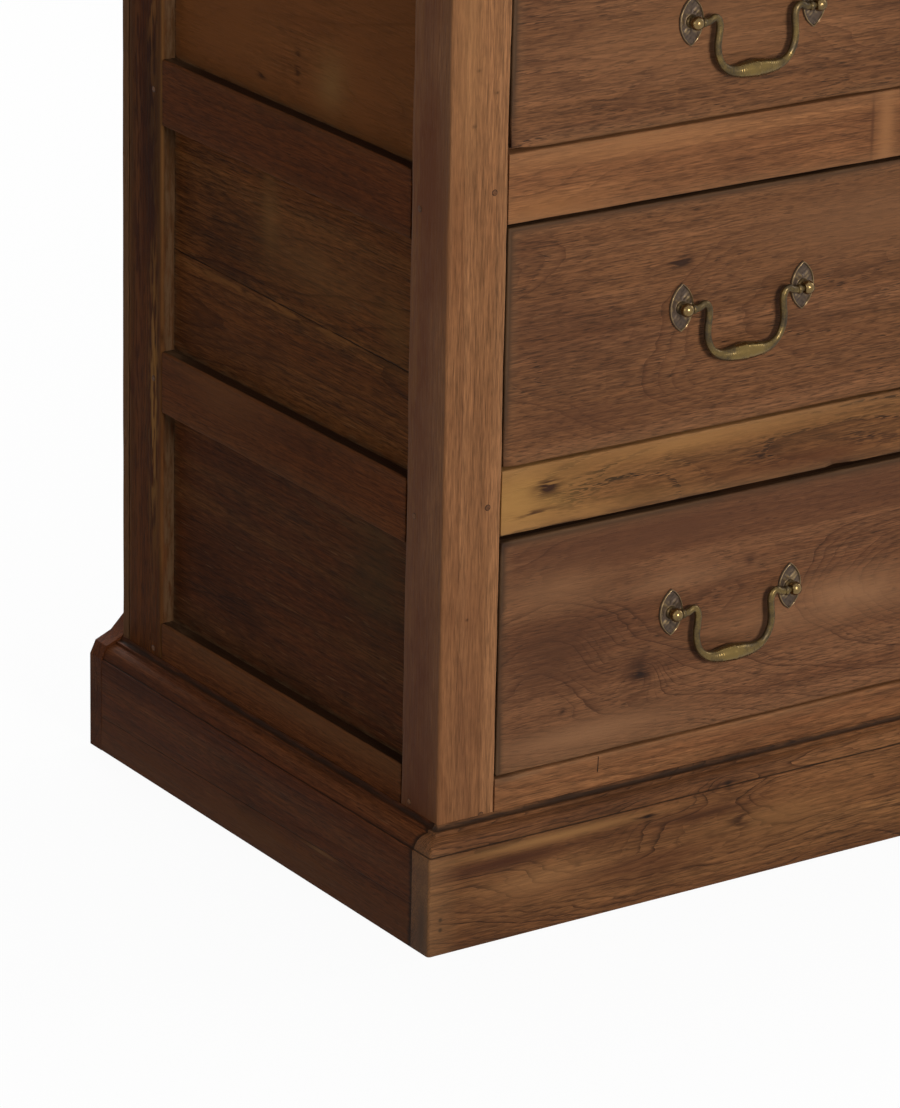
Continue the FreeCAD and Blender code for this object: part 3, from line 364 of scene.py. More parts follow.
class Recipe:
    """A node tree that is written down step by step."""

    def __init__(self, owner: bpy.types.Material | bpy.types.World,
                 output: str = "ShaderNodeOutputMaterial") -> None:
        """Empty the tree of a material or world and give it an output.

        Args:
            owner: Material or world.
            output: Kind of its output node.
        """
        self.owner = owner
        owner.use_nodes = True
        self.tree = owner.node_tree
        self.tree.nodes.clear()
        self.output = self.node(output)

    @cached_property
    def place(self) -> Wire:
        """Place on the object, in the frame of the model."""
        return Wire(self, self.node("ShaderNodeTexCoord").outputs["Object"])

    @classmethod
    def named(cls, name: str) -> Recipe:
        """Start a new material."""
        return cls(bpy.data.materials.new(name))

    def node(self, kind: str, **settings: object) -> bpy.types.Node:
        """Add a node with its settings."""
        made = self.tree.nodes.new(kind)
        for name, value in settings.items():
            setattr(made, name, value)
        return made

    def feed(self, node: bpy.types.Node, inputs: dict[str | int, Value]) -> None:
        """Link or set inputs of a node."""
        for name, value in inputs.items():
            if isinstance(value, Wire):
                self.tree.links.new(value.socket, node.inputs[name])
            else:
                node.inputs[name].default_value = value

    def parts(self, value: Wire) -> list[Wire]:
        """The three numbers of a place or colour."""
        split = self.node("ShaderNodeSeparateXYZ")
        self.feed(split, {0: value})
        return [Wire(self, socket) for socket in split.outputs]

    def number(self, operation: str, *values: Value, clamp: bool = False) -> Wire:
        """Arithmetic on numbers."""
        made = self.node("ShaderNodeMath", operation=operation, use_clamp=clamp)
        self.feed(made, dict(enumerate(values)))
        return Wire(self, made.outputs[0])

    def vector(self, operation: str, *values: Value) -> Wire:
        """Arithmetic on places and colours."""
        made = self.node("ShaderNodeVectorMath", operation=operation)
        free = [number for number, socket in enumerate(made.inputs) if socket.enabled]
        self.feed(made, dict(zip(free, values)))
        return Wire(self, next(socket for socket in made.outputs if socket.enabled))

    def noise(self, scale: Point, shift: float, detail: float, rough: float, colour: bool = False) -> Wire:
        """Cloud noise with its own scale along each direction, in clouds per metre."""
        moved = self.vector("ADD", self.vector("MULTIPLY", self.place, scale),
                            (shift, shift * 1.7, shift * 0.6))
        made = self.node("ShaderNodeTexNoise", noise_dimensions="3D")
        self.feed(made, {"Vector": moved, "Scale": 1.0, "Detail": detail, "Roughness": rough})
        return Wire(self, made.outputs["Color" if colour else "Fac"])

    def chance(self, value: Wire) -> Wire:
        """Random number that belongs to a whole number."""
        made = self.node("ShaderNodeTexWhiteNoise", noise_dimensions="1D")
        self.feed(made, {"W": value})
        return Wire(self, made.outputs["Value"])

    def ease(self, value: Wire, low: float, high: float, out_low: float = 0.0, out_high: float = 1.0) -> Wire:
        """Smooth ramp from low to high."""
        made = self.node("ShaderNodeMapRange", interpolation_type="SMOOTHSTEP")
        self.feed(made, {"Value": value, "From Min": low, "From Max": high, "To Min": out_low,
                         "To Max": out_high})
        return Wire(self, made.outputs["Result"])

    def blend(self, share: Wire, first: Value, second: Value) -> Wire:
        """Mix of two colours."""
        made = self.node("ShaderNodeMix", data_type="RGBA")
        self.feed(made, {0: share, 6: first, 7: second})
        return Wire(self, made.outputs[2])

    def mark(self, name: str) -> Wire:
        """A value that the mesh carries."""
        made = self.node("ShaderNodeAttribute", attribute_type="GEOMETRY", attribute_name=name)
        return Wire(self, made.outputs["Fac"])

    def near(self, centre: Point, reach: Point) -> Wire:
        """Soft ball of influence: exp(-d*d), with d the distance in units of the reach."""
        away = self.vector("DIVIDE", self.vector("SUBTRACT", self.place, centre), reach)
        return self.number("EXPONENT", self.vector("DOT_PRODUCT", away, away) * -1.0)

    def bump(self, height: Wire, distance: float, strength: float = 1.0) -> Wire:
        """Surface relief from a height."""
        made = self.node("ShaderNodeBump")
        self.feed(made, {"Strength": strength, "Distance": distance, "Height": height})
        return Wire(self, made.outputs["Normal"])

    def shader(self, kind: str, inputs: dict[str | int, Value]) -> Wire:
        """Shader node with its inputs linked or set."""
        made = self.node(kind)
        self.feed(made, inputs)
        return Wire(self, made.outputs[0])

    def close(self, surface: Wire) -> None:
        """Link the last shader to the output."""
        self.tree.links.new(surface.socket, self.output.inputs["Surface"])

    def finish(self, colour: Wire, rough: Wire, normal: Wire, specular: float,
               metallic: Value = 0.0) -> bpy.types.Material:
        """Close the recipe with the surface shader.

        Args:
            colour: Base colour.
            rough: Roughness.
            normal: Relief.
            specular: Strength of the clear reflection.
            metallic: Share of bare metal.

        Returns:
            The finished material.
        """
        self.close(self.shader("ShaderNodeBsdfPrincipled", {
            "Base Color": colour, "Roughness": rough, "Metallic": metallic,
            "Specular IOR Level": specular, "Normal": normal}))
        return self.owner


class Grain(Enum):
    """Direction of the fibres of a board: the order of its coordinates along, across, across."""

    ALONG_X = (0, 1, 2)
    ALONG_Y = (1, 0, 2)
    ALONG_Z = (2, 0, 1)


@dataclass(frozen=True)
class Knot:
    """A place where the growth rings bend round a branch.

    Attributes:
        place: Middle of the knot.
        reach: How far the rings bend, along X, Y and Z.
        rings: How many rings it pushes aside.
        core: Radius of its dark heart, or zero.
    """

    place: Point
    reach: Point
    rings: float
    core: float = 0.0


@dataclass(frozen=True)
class Stain:
    """A soft patch of another colour, broken up by clouds or, where grainy, by the fibres."""

    place: Point
    reach: Point
    colour: Colour
    strength: float
    grainy: bool = False


def on_face(kind: type, axis: int, face: float, depth: float, *rows: tuple) -> tuple:
    """Stains or knots on a face that looks along an axis.

    Args:
        kind: Stain or Knot.
        axis: Number of the axis.
        face: Place of the face on it.
        depth: Reach along it.
        rows: Place in the face (two numbers), reach in the face (two numbers), then the other values.

    Returns:
        One stain or knot per row.
    """
    made = []
    for first, second, wide, high, *rest in rows:
        place, reach = [first, second], [wide, high]
        place.insert(axis, face)
        reach.insert(axis, depth)
        made.append(kind(tuple(place), tuple(reach), *rest))
    return tuple(made)


@dataclass(frozen=True)
class Crack:
    """A thin dark line along a board, at a height across the grain that wanders a little.

    Attributes:
        start: One end.
        end: The other end.
        width: Half width of the line.
        wander: How far it strays.
        strength: How dark it is.
    """

    start: Point
    end: Point
    width: float
    wander: float
    strength: float = 0.9


@dataclass(frozen=True)
class WoodFinish:
    """Colours and figure of one kind of timber with its old wax.

    Attributes:
        name: Plain name.
        tone: Main colour.
        pale: Colour of the lighter streaks.
        dark: Colour of late wood and dark streaks.
        ring: Width of a growth ring.
        lines: Strength of the tone that deepens through each ring.
        contours: Strength of the thin dark line that closes a ring.
        pores: Strength of the pores.
        rows: How much the pores keep to the start of a ring.
        fibres: Strength of the fine fibres.
        streaks: Share of pale streaks.
        clouds: Strength of dark clouds.
        scuffs: Strength of fine pale scratches.
        wave: How far the rings stray.
        rough: Roughness.
        specular: Strength of the clear reflection.
        edge: Colour of worn arrises.
        edge_share: How much they show.
        relief: Depth of the relief.
    """

    name: str
    tone: Colour
    pale: Colour
    dark: Colour
    ring: float = 0.003
    lines: float = 0.5
    contours: float = 0.3
    pores: float = 0.6
    rows: float = 0.5
    fibres: float = 1.0
    streaks: float = 0.6
    clouds: float = 0.6
    scuffs: float = 0.2
    wave: float = 0.03
    rough: float = 0.5
    specular: float = 0.12
    edge: Colour = (150, 112, 78)
    edge_share: float = 0.3
    relief: float = 0.25 * MM


# Dust colour; on the rear posts' reveals it is painted light as well as dust
DUST_AND_LIGHT = (112, 85, 60)
# Grime colour, also for cracks; in recesses, creases and on ledges it is painted shade as well
GRIME_AND_SHADE = (30, 20, 13)
INK = (26, 15, 9)
TARNISH_DIRT = (50, 40, 32)

# Noise of a board: clouds per metre along and across the grain, shift of the seed, detail, roughness
PATTERNS = {
    "fibre": (7.0, 300.0, 1.3, 3.0, 0.6),
    "thread": (55.0, 900.0, 2.6, 3.0, 0.6),
    "streak": (1.1, 42.0, 5.9, 4.0, 0.55),
    "cloud": (5.0, 10.0, 7.7, 5.0, 0.6),
    "speck": (95.0, 1050.0, 2.2, 1.0, 0.5),
    "vessel": (80.0, 620.0, 8.1, 1.0, 0.5),
    "broken": (40.0, 300.0, 9.4, 2.0, 0.5),
    "scratch": (45.0, 1200.0, 6.3, 0.0, 0.5),
    "dust": (45.0, 260.0, 0.0, 3.0, 0.7),
}
# What breaks a stain up: a pattern and the limits of its ramp
GRAINY = ("broken", 0.42, 0.58)
CLOUDY = ("cloud", 0.3, 0.62, 0.35, 1.25)


@dataclass(frozen=True)
class Timber:
    """How one board is cut from its tree.

    Attributes:
        finish: Kind of timber.
        grain: Direction of the fibres.
        middle: Middle of the board.
        pith: Place of the tree's heart from the middle, in the two directions across the grain.
        tilt: Slope of the heart's line against the board, in the same two directions.
        seed: Shift of all patterns.
        knots: Knots.
        stains: Patches.
        cracks: Cracks and glue lines.
    """

    finish: WoodFinish
    grain: Grain
    middle: Point
    pith: Pair
    tilt: Pair
    seed: float
    knots: tuple[Knot, ...] = ()
    stains: tuple[Stain, ...] = ()
    cracks: tuple[Crack, ...] = ()

    def by_grain(self, along: float, across: float) -> Point:
        """Put a value for along the grain and one for across into X, Y and Z order."""
        order = [across] * 3
        order[self.grain.value[0]] = along
        return tuple(order)

    def ring_count(self, made: Recipe) -> Wire:
        """Number of growth rings between the tree's heart and a place.

        Distance from the heart's line, which is tilted and strays with cloud noise, over the ring
        width, with a soft hill added round each knot.
        """
        along, *across = self.grain.value
        places = made.parts(made.place)
        large = made.parts(made.noise(self.by_grain(1.7, 6.0), self.seed, 2.0, 0.45, colour=True))
        small = made.parts(made.noise(self.by_grain(9.0, 34.0), self.seed + 3.1, 3.0, 0.55, colour=True))
        gone = places[along] - self.middle[along]
        sides = []
        for number, axis in enumerate(across):
            offset = places[axis] - (self.middle[axis] + self.pith[number])
            sloped = gone.scaled(self.tilt[number], offset)
            bent = (large[number] - 0.5).scaled(self.finish.wave * 2.0, sloped)
            sides.append((small[number] - 0.5).scaled(self.finish.wave * 0.2, bent))
        square = sides[0] * sides[0] + sides[1] * sides[1]
        count = made.number("DIVIDE", made.number("SQRT", square), self.finish.ring)
        for knot in self.knots:
            count = made.near(knot.place, knot.reach).scaled(knot.rings, count)
        return count

    def figure(self, made: Recipe, noise: dict[str, Wire]) -> tuple[Wire, Wire, Wire]:
        """Bare wood: streaks, clouds, growth rings, fibres, pores and scratches.

        A ring deepens towards its end and closes with a thin line. A random number per ring makes some
        of them weaker, and the pores keep to its start.

        Args:
            made: Recipe that it is written in.
            noise: Patterns of the board.

        Returns:
            Colour, closing lines of the rings and pores.
        """
        look = self.finish
        tone, pale, dark = rgba(look.tone), rgba(look.pale), rgba(look.dark)
        cloud, broken = noise["cloud"], noise["broken"]
        count = self.ring_count(made)
        share = made.number("FRACT", count)
        luck = made.chance(made.number("FLOOR", count))
        late = made.number("POWER", share, 1.8) * made.ease(luck, 0.0, 1.0, 0.1, 1.0)
        closing = made.ease(share, 0.985, 1.0, 1.0, 0.0) * made.ease(luck, 0.0, 0.85, 0.25, 1.0)
        line = made.ease(share, 0.72, 0.97) * closing
        early = made.ease(share, 0.05, 0.42, 1.0, 0.0) * made.ease(luck, 0.0, 0.8, 0.35, 1.0)
        clustered = early.scaled(look.rows, 1.0 - look.rows)
        often = 0.6 - 0.05 * look.pores
        deep = made.ease(noise["vessel"], often, often + 0.08) * (clustered * look.rows)
        pore = made.number("MAXIMUM", made.ease(noise["speck"], 0.52, 0.68) * clustered, deep)
        colour = made.blend(made.ease(noise["streak"], 0.42, 0.66) * look.streaks, tone, pale)
        colour = made.blend(made.ease(cloud, 0.46, 0.72) * look.clouds, colour, dark)
        colour = made.blend(late * look.lines, colour, dark)
        ragged = line * made.ease(cloud, 0.36, 0.6, 0.3, 1.0) * made.ease(broken, 0.34, 0.58, 0.2, 1.0)
        colour = made.blend(ragged * look.contours, colour, tuple(0.4 * part for part in dark[:3]) + (1.0,))
        threads = (noise["thread"] - 0.5).scaled(1.9 * look.fibres, 1.0)
        weave = (noise["fibre"] - 0.5).scaled(1.1 * look.fibres, threads)
        colour = made.vector("SCALE", colour, made.number("MAXIMUM", weave, 0.3))
        colour = made.blend(pore * look.pores, colour, rgba(INK))
        scuffed = made.ease(noise["scratch"], 0.76, 0.84) * look.scuffs
        return made.blend(scuffed, colour, rgba(look.edge)), line, pore

    def marked(self, made: Recipe, noise: dict[str, Wire], colour: Wire) -> Wire:
        """Add the stains and the dark hearts of the knots."""
        for stain in self.stains:
            pattern, *limits = GRAINY if stain.grainy else CLOUDY
            ragged = made.near(stain.place, stain.reach) * made.ease(noise[pattern], *limits)
            share = made.number("MULTIPLY", ragged, stain.strength, clamp=True)
            colour = made.blend(share, colour, rgba(stain.colour))
        for knot in self.knots:
            if knot.core > 0.0:
                heart = made.near(knot.place, (knot.core * 1.2, knot.core * 3.0, knot.core))
                ragged = heart * made.ease(noise["broken"], 0.35, 0.6, 0.3, 1.0)
                colour = made.blend(ragged, colour, rgba(INK))
        return colour

    def aged(self, made: Recipe, noise: dict[str, Wire], colour: Wire) -> tuple[Wire, Wire]:
        """Rub the arrises pale, put grime and dust where the mesh is marked; also gives the dust. In recesses
        and creases the grime is painted shade as well, and on the rear posts' reveals the dust and the pale
        rub are painted light as well.
        """
        look = self.finish
        rubbed = made.mark("wear") * made.ease(noise["cloud"], 0.35, 0.65, 0.3, 1.0)
        colour = made.blend(rubbed * look.edge_share, colour, rgba(look.edge))
        # Grime colour where the grime mark is: real grime, and painted shade in recesses and creases
        ragged = made.ease(noise["broken"].scaled(0.7, made.mark("grime")), 0.62, 1.15)
        colour = made.blend(ragged * 0.85, colour, rgba(GRIME_AND_SHADE))
        # Dust colour where the dust mark is; on the rear posts' reveals this is painted light as well
        dust = made.mark("dust") * made.ease(noise["dust"], 0.36, 0.66, 0.2, 1.0)
        return made.blend(dust, colour, rgba(DUST_AND_LIGHT)), dust

    def material(self, name: str) -> bpy.types.Material:
        """Write the material of the board.

        Args:
            name: Name of the material.

        Returns:
            The material.
        """
        made = Recipe.named(name)
        noise = {kind: made.noise(self.by_grain(along, across), self.seed + shift, detail, rough)
                 for kind, (along, across, shift, detail, rough) in PATTERNS.items()}
        colour, line, pore = self.figure(made, noise)
        colour, dust = self.aged(made, noise, self.marked(made, noise, colour))
        gap: Value = 0.0
        for crack in self.cracks:
            gap = made.number("MAXIMUM", gap, self.crack_line(made, crack))
        if self.cracks:
            colour = made.blend(gap, colour, rgba(GRIME_AND_SHADE))
        rough = dust.scaled(0.3, noise["fibre"].scaled(0.16, self.finish.rough - 0.08))
        rough = made.number("ADD", rough, noise["cloud"] * 0.1, clamp=True)
        height = line.scaled(-0.35, noise["thread"].scaled(0.35, noise["fibre"]))
        height = made.number("MULTIPLY_ADD", gap, -3.0, pore.scaled(-0.7, height))
        return made.finish(colour, rough, made.bump(height, self.finish.relief), self.finish.specular)

    def crack_line(self, made: Recipe, crack: Crack) -> Wire:
        """Dark line from start to end: one minus the distance over the width, smoothed."""
        start, end = np.array(crack.start), np.array(crack.end)
        length = float(np.linalg.norm(end - start))
        way = tuple((end - start) / length)
        stray = made.noise((55.0,) * 3, self.seed + 4.0, 3.0, 0.6, colour=True)
        bent = made.vector("SCALE", made.vector("SUBTRACT", stray, (0.5, 0.5, 0.5)), crack.wander * 2.0)
        apart = made.vector("SUBTRACT", made.vector("ADD", made.place, bent), tuple(start))
        along = made.vector("DOT_PRODUCT", apart, way)
        held = made.number("MINIMUM", made.number("MAXIMUM", along, 0.0), length)
        off = made.vector("SUBTRACT", apart, made.vector("SCALE", way, held))
        return made.ease(made.vector("LENGTH", off), crack.width * 0.4, crack.width * 1.6,
                         crack.strength, 0.0)


POST_WOOD = WoodFinish(
    "post_wood", (136, 93, 60), (156, 110, 74), (98, 60, 37), lines=0.4, pores=0.3, rows=0.3, wave=0.012,
    clouds=0.4, specular=0.08, edge=(158, 114, 78))
REAR_POST_WOOD = WoodFinish(
    "rear_post_wood", (80, 39, 17), (112, 66, 32), (42, 18, 7), lines=0.8, contours=0.6, pores=0.8, wave=0.02,
    clouds=0.9, specular=0.02, edge=(150, 104, 60), edge_share=0.6)
RAIL_WOOD = WoodFinish(
    "rail_wood", (122, 79, 49), (146, 100, 64), (82, 49, 29), contours=0.35, pores=0.5, wave=0.035)
YELLOW_WOOD = WoodFinish(
    "yellow_wood", (116, 77, 45), (146, 108, 64), (80, 48, 26), ring=0.0042, lines=0.7, contours=0.6,
    pores=1.4, rows=0.75, wave=0.04, clouds=0.45)
DRAWER_WOOD = WoodFinish(
    "drawer_wood", (108, 71, 44), (132, 90, 60), (76, 45, 27), ring=0.0028, contours=0.35, pores=0.85,
    wave=0.04)
SWIRL_WOOD = WoodFinish(
    "swirl_wood", (103, 66, 42), (134, 92, 62), (70, 41, 25), ring=0.0022, lines=0.7, contours=0.6, pores=0.8,
    wave=0.035)
SIDE_WOOD = WoodFinish(
    "side_wood", (100, 54, 27), (112, 66, 36), (60, 30, 14), ring=0.0035, lines=0.4, contours=0.25, wave=0.02,
    clouds=0.7, specular=0.02, edge=(120, 82, 52))
PANEL_WOOD = WoodFinish(
    "panel_wood", (106, 61, 30), (126, 80, 42), (56, 27, 11), ring=0.004, lines=0.55, contours=0.6,
    fibres=1.7, scuffs=0.4, clouds=0.8, specular=0.02, relief=0.4 * MM)
LOW_PANEL_WOOD = WoodFinish(
    "low_panel_wood", (84, 45, 23), (98, 62, 34), (50, 25, 12), ring=0.0045, lines=0.35, contours=0.35,
    fibres=1.4, scuffs=0.3, clouds=0.8, specular=0.02)
SKIRTING_WOOD = WoodFinish(
    "skirting_wood", (116, 76, 46), (144, 101, 63), (66, 38, 21), ring=0.0018, lines=0.6, contours=0.95,
    wave=0.045, specular=0.09)
SIDE_SKIRTING_WOOD = WoodFinish(
    "side_skirting_wood", (88, 46, 24), (106, 64, 37), (52, 26, 13), ring=0.0035, wave=0.025, clouds=0.7,
    specular=0.03)
TOP_WOOD = WoodFinish("top_wood", (112, 73, 45), (134, 94, 60), (76, 46, 28), wave=0.04)
PLAIN_WOOD = WoodFinish(
    "plain_wood", (146, 110, 74), (162, 128, 90), (106, 76, 49), ring=0.004, rough=0.7, specular=0.1)
BACK_WOOD = WoodFinish(
    "back_wood", (104, 70, 45), (126, 90, 60), (66, 42, 27), ring=0.004, rough=0.7, specular=0.06)
PEG_WOOD = WoodFinish("peg_wood", (112, 74, 47), (124, 84, 54), (72, 42, 26), ring=0.002, lines=0.4)


@dataclass(frozen=True)
class BrassFinish:
    """Old brass: bright where it is rubbed, dark in its hollows.

    Attributes:
        name: Plain name.
        bright: Colour of the rubbed metal.
        dull: Colour of the tarnish.
        tarnish: Share of tarnish away from the rubbed places.
        rough: Roughness.
    """

    name: str
    bright: Colour
    dull: Colour
    tarnish: float
    rough: float

    def material(self) -> bpy.types.Material:
        """Write the material: tarnish in clouds and specks, less where the mark polish is high."""
        made = Recipe.named(self.name)
        cloud = made.noise((90.0,) * 3, 1.0, 4.0, 0.6)
        height = made.noise((900.0,) * 3, 4.0, 3.0, 0.6).scaled(0.4, cloud)
        spread = made.ease(height - made.mark("polish") * 0.4, 0.54 - self.tarnish * 0.5,
                           1.0 - self.tarnish * 0.4)
        grime = made.mark("grime")
        colour = made.blend(spread, rgba(self.bright), rgba(self.dull))
        colour = made.blend(grime, colour, rgba(TARNISH_DIRT))
        rough = spread.scaled(0.22, self.rough, clamp=True)
        metal = made.number("MAXIMUM", spread, grime).scaled(-0.55, 1.0, clamp=True)
        return made.finish(colour, rough, made.bump(height, 0.25 * MM, 0.8), 0.4, metal)


BAIL_BRASS = BrassFinish("bail_brass", (118, 97, 57), (44, 33, 18), 0.58, 0.22)
HEAD_BRASS = BrassFinish("head_brass", (122, 100, 64), (46, 35, 22), 0.5, 0.22)
PLATE_BRASS = BrassFinish("plate_brass", (140, 118, 84), (78, 62, 49), 0.72, 0.32)


# Sub-assemblies

def node_box(node: str) -> tuple[np.ndarray, np.ndarray]:
    """Lowest and highest corner of a node of the model."""
    low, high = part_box(node)
    return np.array(low, float), np.array(high, float)


def middle_of(low: np.ndarray, high: np.ndarray) -> Point:
    """Middle of a box as a plain tuple."""
    return tuple(((low + high) / 2.0).tolist())


def outer_face(low: np.ndarray, high: np.ndarray, outer: float) -> float:
    """Place along X of the face of a box that looks out, with outer -1 on the left and 1 on the right."""
    return float(low[0] if outer < 0 else high[0])


def dress(grains: dict[str, Grain], pith: Pair, tilt: Pair, seed: float,
          apart: float) -> None:
    """Give nodes of the model plain timber in place of their plain colour.

    Args:
        grains: Direction of the fibres of each node.
        pith: Place of the tree's heart, as in Timber.
        tilt: Slope of the heart's line.
        seed: Shift of the first one's patterns.
        apart: What the next one's seed adds.
    """
    for number, (node, grain) in enumerate(grains.items()):
        timber = Timber(PLAIN_WOOD, grain, middle_of(*node_box(node)), pith, tilt, seed + apart * number)
        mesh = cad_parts[node].data
        mesh.materials.clear()
        mesh.materials.append(timber.material(node))
        log.info("node %s keeps its shape and gets plain timber", node)


def side_opening() -> Pair:
    """Places along Y between which the side frames stand free of their posts."""
    return float(node_box("post_front_left")[1][1]), float(node_box("post_rear_left")[0][1])


# Places along Y of the faces that carry the marks
FRONT = -0.224
DRAWER_FACE = -0.222
SKIRTING_FACE = -0.244


@dataclass
class Carcass:
    """Posts, rails, side panels, back boards and top board.

    Attributes:
        arris: Rounding of the posts' upright edges.
        post_end: Rounding of the posts' ends.
        rail_arris: Rounding of the rails' long edges.
        shoulder: Rounding where a rail meets a post.
        panel_arris: Rounding of the panels' edges, in their grooves.
        back_count: Number of back boards.
        back_gap: Gap between two back boards.
        nosing: Rounding of the top board.
    """

    arris: float = 2.6 * MM
    post_end: float = 0.8 * MM
    rail_arris: float = 1.8 * MM
    shoulder: float = 0.35 * MM
    panel_arris: float = 0.8 * MM
    back_count: int = 8
    back_gap: float = 1.0 * MM
    nosing: float = 8.0 * MM

    def build(self) -> None:
        """Build all pieces of the carcass."""
        self.posts()
        self.front_rails()
        self.side_rails()
        self.side_panels()
        self.back_boards()
        self.top_board()
        self.hidden_pieces()

    def posts(self) -> None:
        """Four posts with upright grain, the rear ones darker."""
        for number, (place, side) in enumerate(product(("front", "rear"), SIDES)):
            node = f"post_{place}_{side}"
            low, high = node_box(node)
            cut, slot = {"front": (self.front_post, "teak_orange"),
                         "rear": (self.rear_post, "teak_dark")}[place]
            timber, nicks = cut(low, high, SIDES[side], 2.0 + number)
            surface = worn_board(low, high, (self.arris, self.arris, self.post_end), 11 + number, chips=nicks)
            if place == "rear":
                self.paint_reveal_dust_and_light(surface, float(low[1]))
            make_piece(node, surface, timber.material(node))

    def front_post(self, low: np.ndarray, high: np.ndarray, outer: float,
                   seed: float) -> tuple[Timber, tuple[Chip, ...]]:
        """Timber and dents of a front post: redder outer face, pale upper front, painted shade darker towards
        the bottom, four small knots.

        Args:
            low: Lowest corner.
            high: Highest corner.
            outer: Way out along X, -1 or 1.
            seed: Shift of its patterns.
        """
        middle = middle_of(low, high)
        face, front = outer_face(low, high, outer), float(low[1])
        stains = on_face(
            Stain, 0, face, 0.009,
            (middle[1] + 0.006, 0.3, 0.034, 2.0, (102, 56, 27), 0.9),
            # Painted shade: the outer face darker towards the bottom
            (middle[1] + 0.02, 0.1, 0.04, 0.3, (78, 38, 18), 0.7))
        stains += (Stain((face, middle[1] + 0.016, 0.5), (0.008, 0.006, 0.4), (128, 84, 46), 0.5, True),)
        stains += on_face(
            Stain, 1, front, 0.01,
            (middle[0] + 0.012 * outer, 0.68, 0.012, 0.08, (150, 106, 68), 0.6),
            # Painted shade: the front darker towards the bottom
            (middle[0], 0.2, 0.02, 0.2, (110, 70, 46), 0.5))
        knots = on_face(
            Knot, 1, front, 0.02,
            (outer * 0.5603, 0.660, 0.006, 0.012, 1.2, 0.0013),
            (outer * 0.5627, 0.620, 0.006, 0.012, 1.2, 0.0014),
            (outer * 0.5446, 0.642, 0.005, 0.010, 1.0, 0.0012),
            (outer * 0.5600, 0.250, 0.008, 0.020, 1.6, 0.0012))
        timber = Timber(POST_WOOD, Grain.ALONG_Z, middle, (0.028 * outer, 0.05), (0.006, 0.004), seed,
                        knots, stains)
        return timber, dents((face, front, 0.478, 2.6, 1.4), (face, front, 0.469, 2.0, 0.9),
                             (face, front, 0.735, 2.0, 0.8), (face, front, 0.262, 2.2, 0.9),
                             (face, front, 0.131, 3.0, 1.2))

    def rear_post(self, low: np.ndarray, high: np.ndarray, outer: float,
                  seed: float) -> tuple[Timber, tuple[Chip, ...]]:
        """Timber and dents of a rear post, with pale flecks; the arguments are those of front_post."""
        face, front = outer_face(low, high, outer), float(low[1])
        flecks = on_face(
            Stain, 0, face, 0.012,
            (front + 0.012, 0.31, 0.006, 0.11, (158, 112, 60), 1.0, True),
            (front + 0.014, 0.69, 0.007, 0.12, (150, 100, 52), 0.9, True),
            (front + 0.036, 0.45, 0.006, 0.4, (120, 72, 38), 0.6, True))
        timber = Timber(REAR_POST_WOOD, Grain.ALONG_Z, middle_of(low, high), (0.035 * outer, -0.03),
                        (0.01, 0.008), seed, stains=flecks)
        return timber, dents((face, float(high[1]), 0.31, 6.0, 0.8), (face, front, 0.66, 3.0, 1.0),
                             (face, front, 0.36, 2.5, 0.8))

    def paint_reveal_dust_and_light(self, surface: Surface, front: float) -> None:
        """Dust and painted light on the front face of a rear post, where it stands free beside the panels."""
        points = surface.points
        half_width = float(node_box("post_front_right")[1][0])
        deep = smooth_step(half_width - np.abs(points[:, 0]), 1.0 * MM, 4.0 * MM)
        reveal = deep * hill(np.maximum(points[:, 1] - front, 0.0), 1.5 * MM)
        # Painted light with dust: the reveal gets the pale dust colour and, through the wear mark, a share of
        # the pale edge colour
        surface.marks["dust"] = 0.95 * reveal
        surface.marks["wear"] = np.maximum(surface.marks["wear"] * (1.0 - reveal), 0.35 * reveal)

    def rail_timbers(self) -> dict[str, Timber]:
        """How the four front rails are cut, with the marks of each."""
        upper = on_face(
            Stain, 1, FRONT, 0.02,
            (-0.195, 0.565, 0.009, 0.05, (146, 100, 64), 0.75),
            (-0.208, 0.57, 0.0016, 0.03, (84, 52, 32), 0.6),
            (-0.42, 0.59, 0.11, 0.012, (152, 104, 66), 0.6),
            (-0.5, 0.55, 0.05, 0.012, (150, 100, 60), 0.5))
        lower = on_face(
            Stain, 1, FRONT, 0.03,
            (-0.515, 0.335, 0.06, 0.05, (160, 118, 66), 0.85),
            (-0.38, 0.354, 0.15, 0.010, (152, 108, 62), 0.7),
            (-0.47, 0.316, 0.08, 0.008, (156, 112, 64), 0.6))
        lower += on_face(
            Stain, 1, FRONT, 0.02,
            (-0.492, 0.3397, 0.012, 0.007, (50, 28, 14), 1.2, True),
            (-0.505, 0.322, 0.02, 0.003, (62, 36, 20), 0.9, True))
        lower += on_face(
            Stain, 1, FRONT, 0.03,
            (-0.25, 0.318, 0.09, 0.008, (88, 52, 30), 0.6),
            # Painted shadow: dark line along the rail's lower edge, over the gap above the bottom drawer
            (0.0, 0.308, 4.0, 0.003, (50, 29, 16), 1.0, True))
        bottom = on_face(
            Stain, 1, FRONT, 0.02,
            (-0.515, 0.117, 0.02, 0.002, (140, 104, 74), 0.5),
            (-0.523, 0.119, 0.012, 0.004, (60, 36, 22), 0.7))
        split = Crack((-0.44, FRONT, 0.106), (-0.4395, FRONT, 0.118), 0.35 * MM, 0.4 * MM)
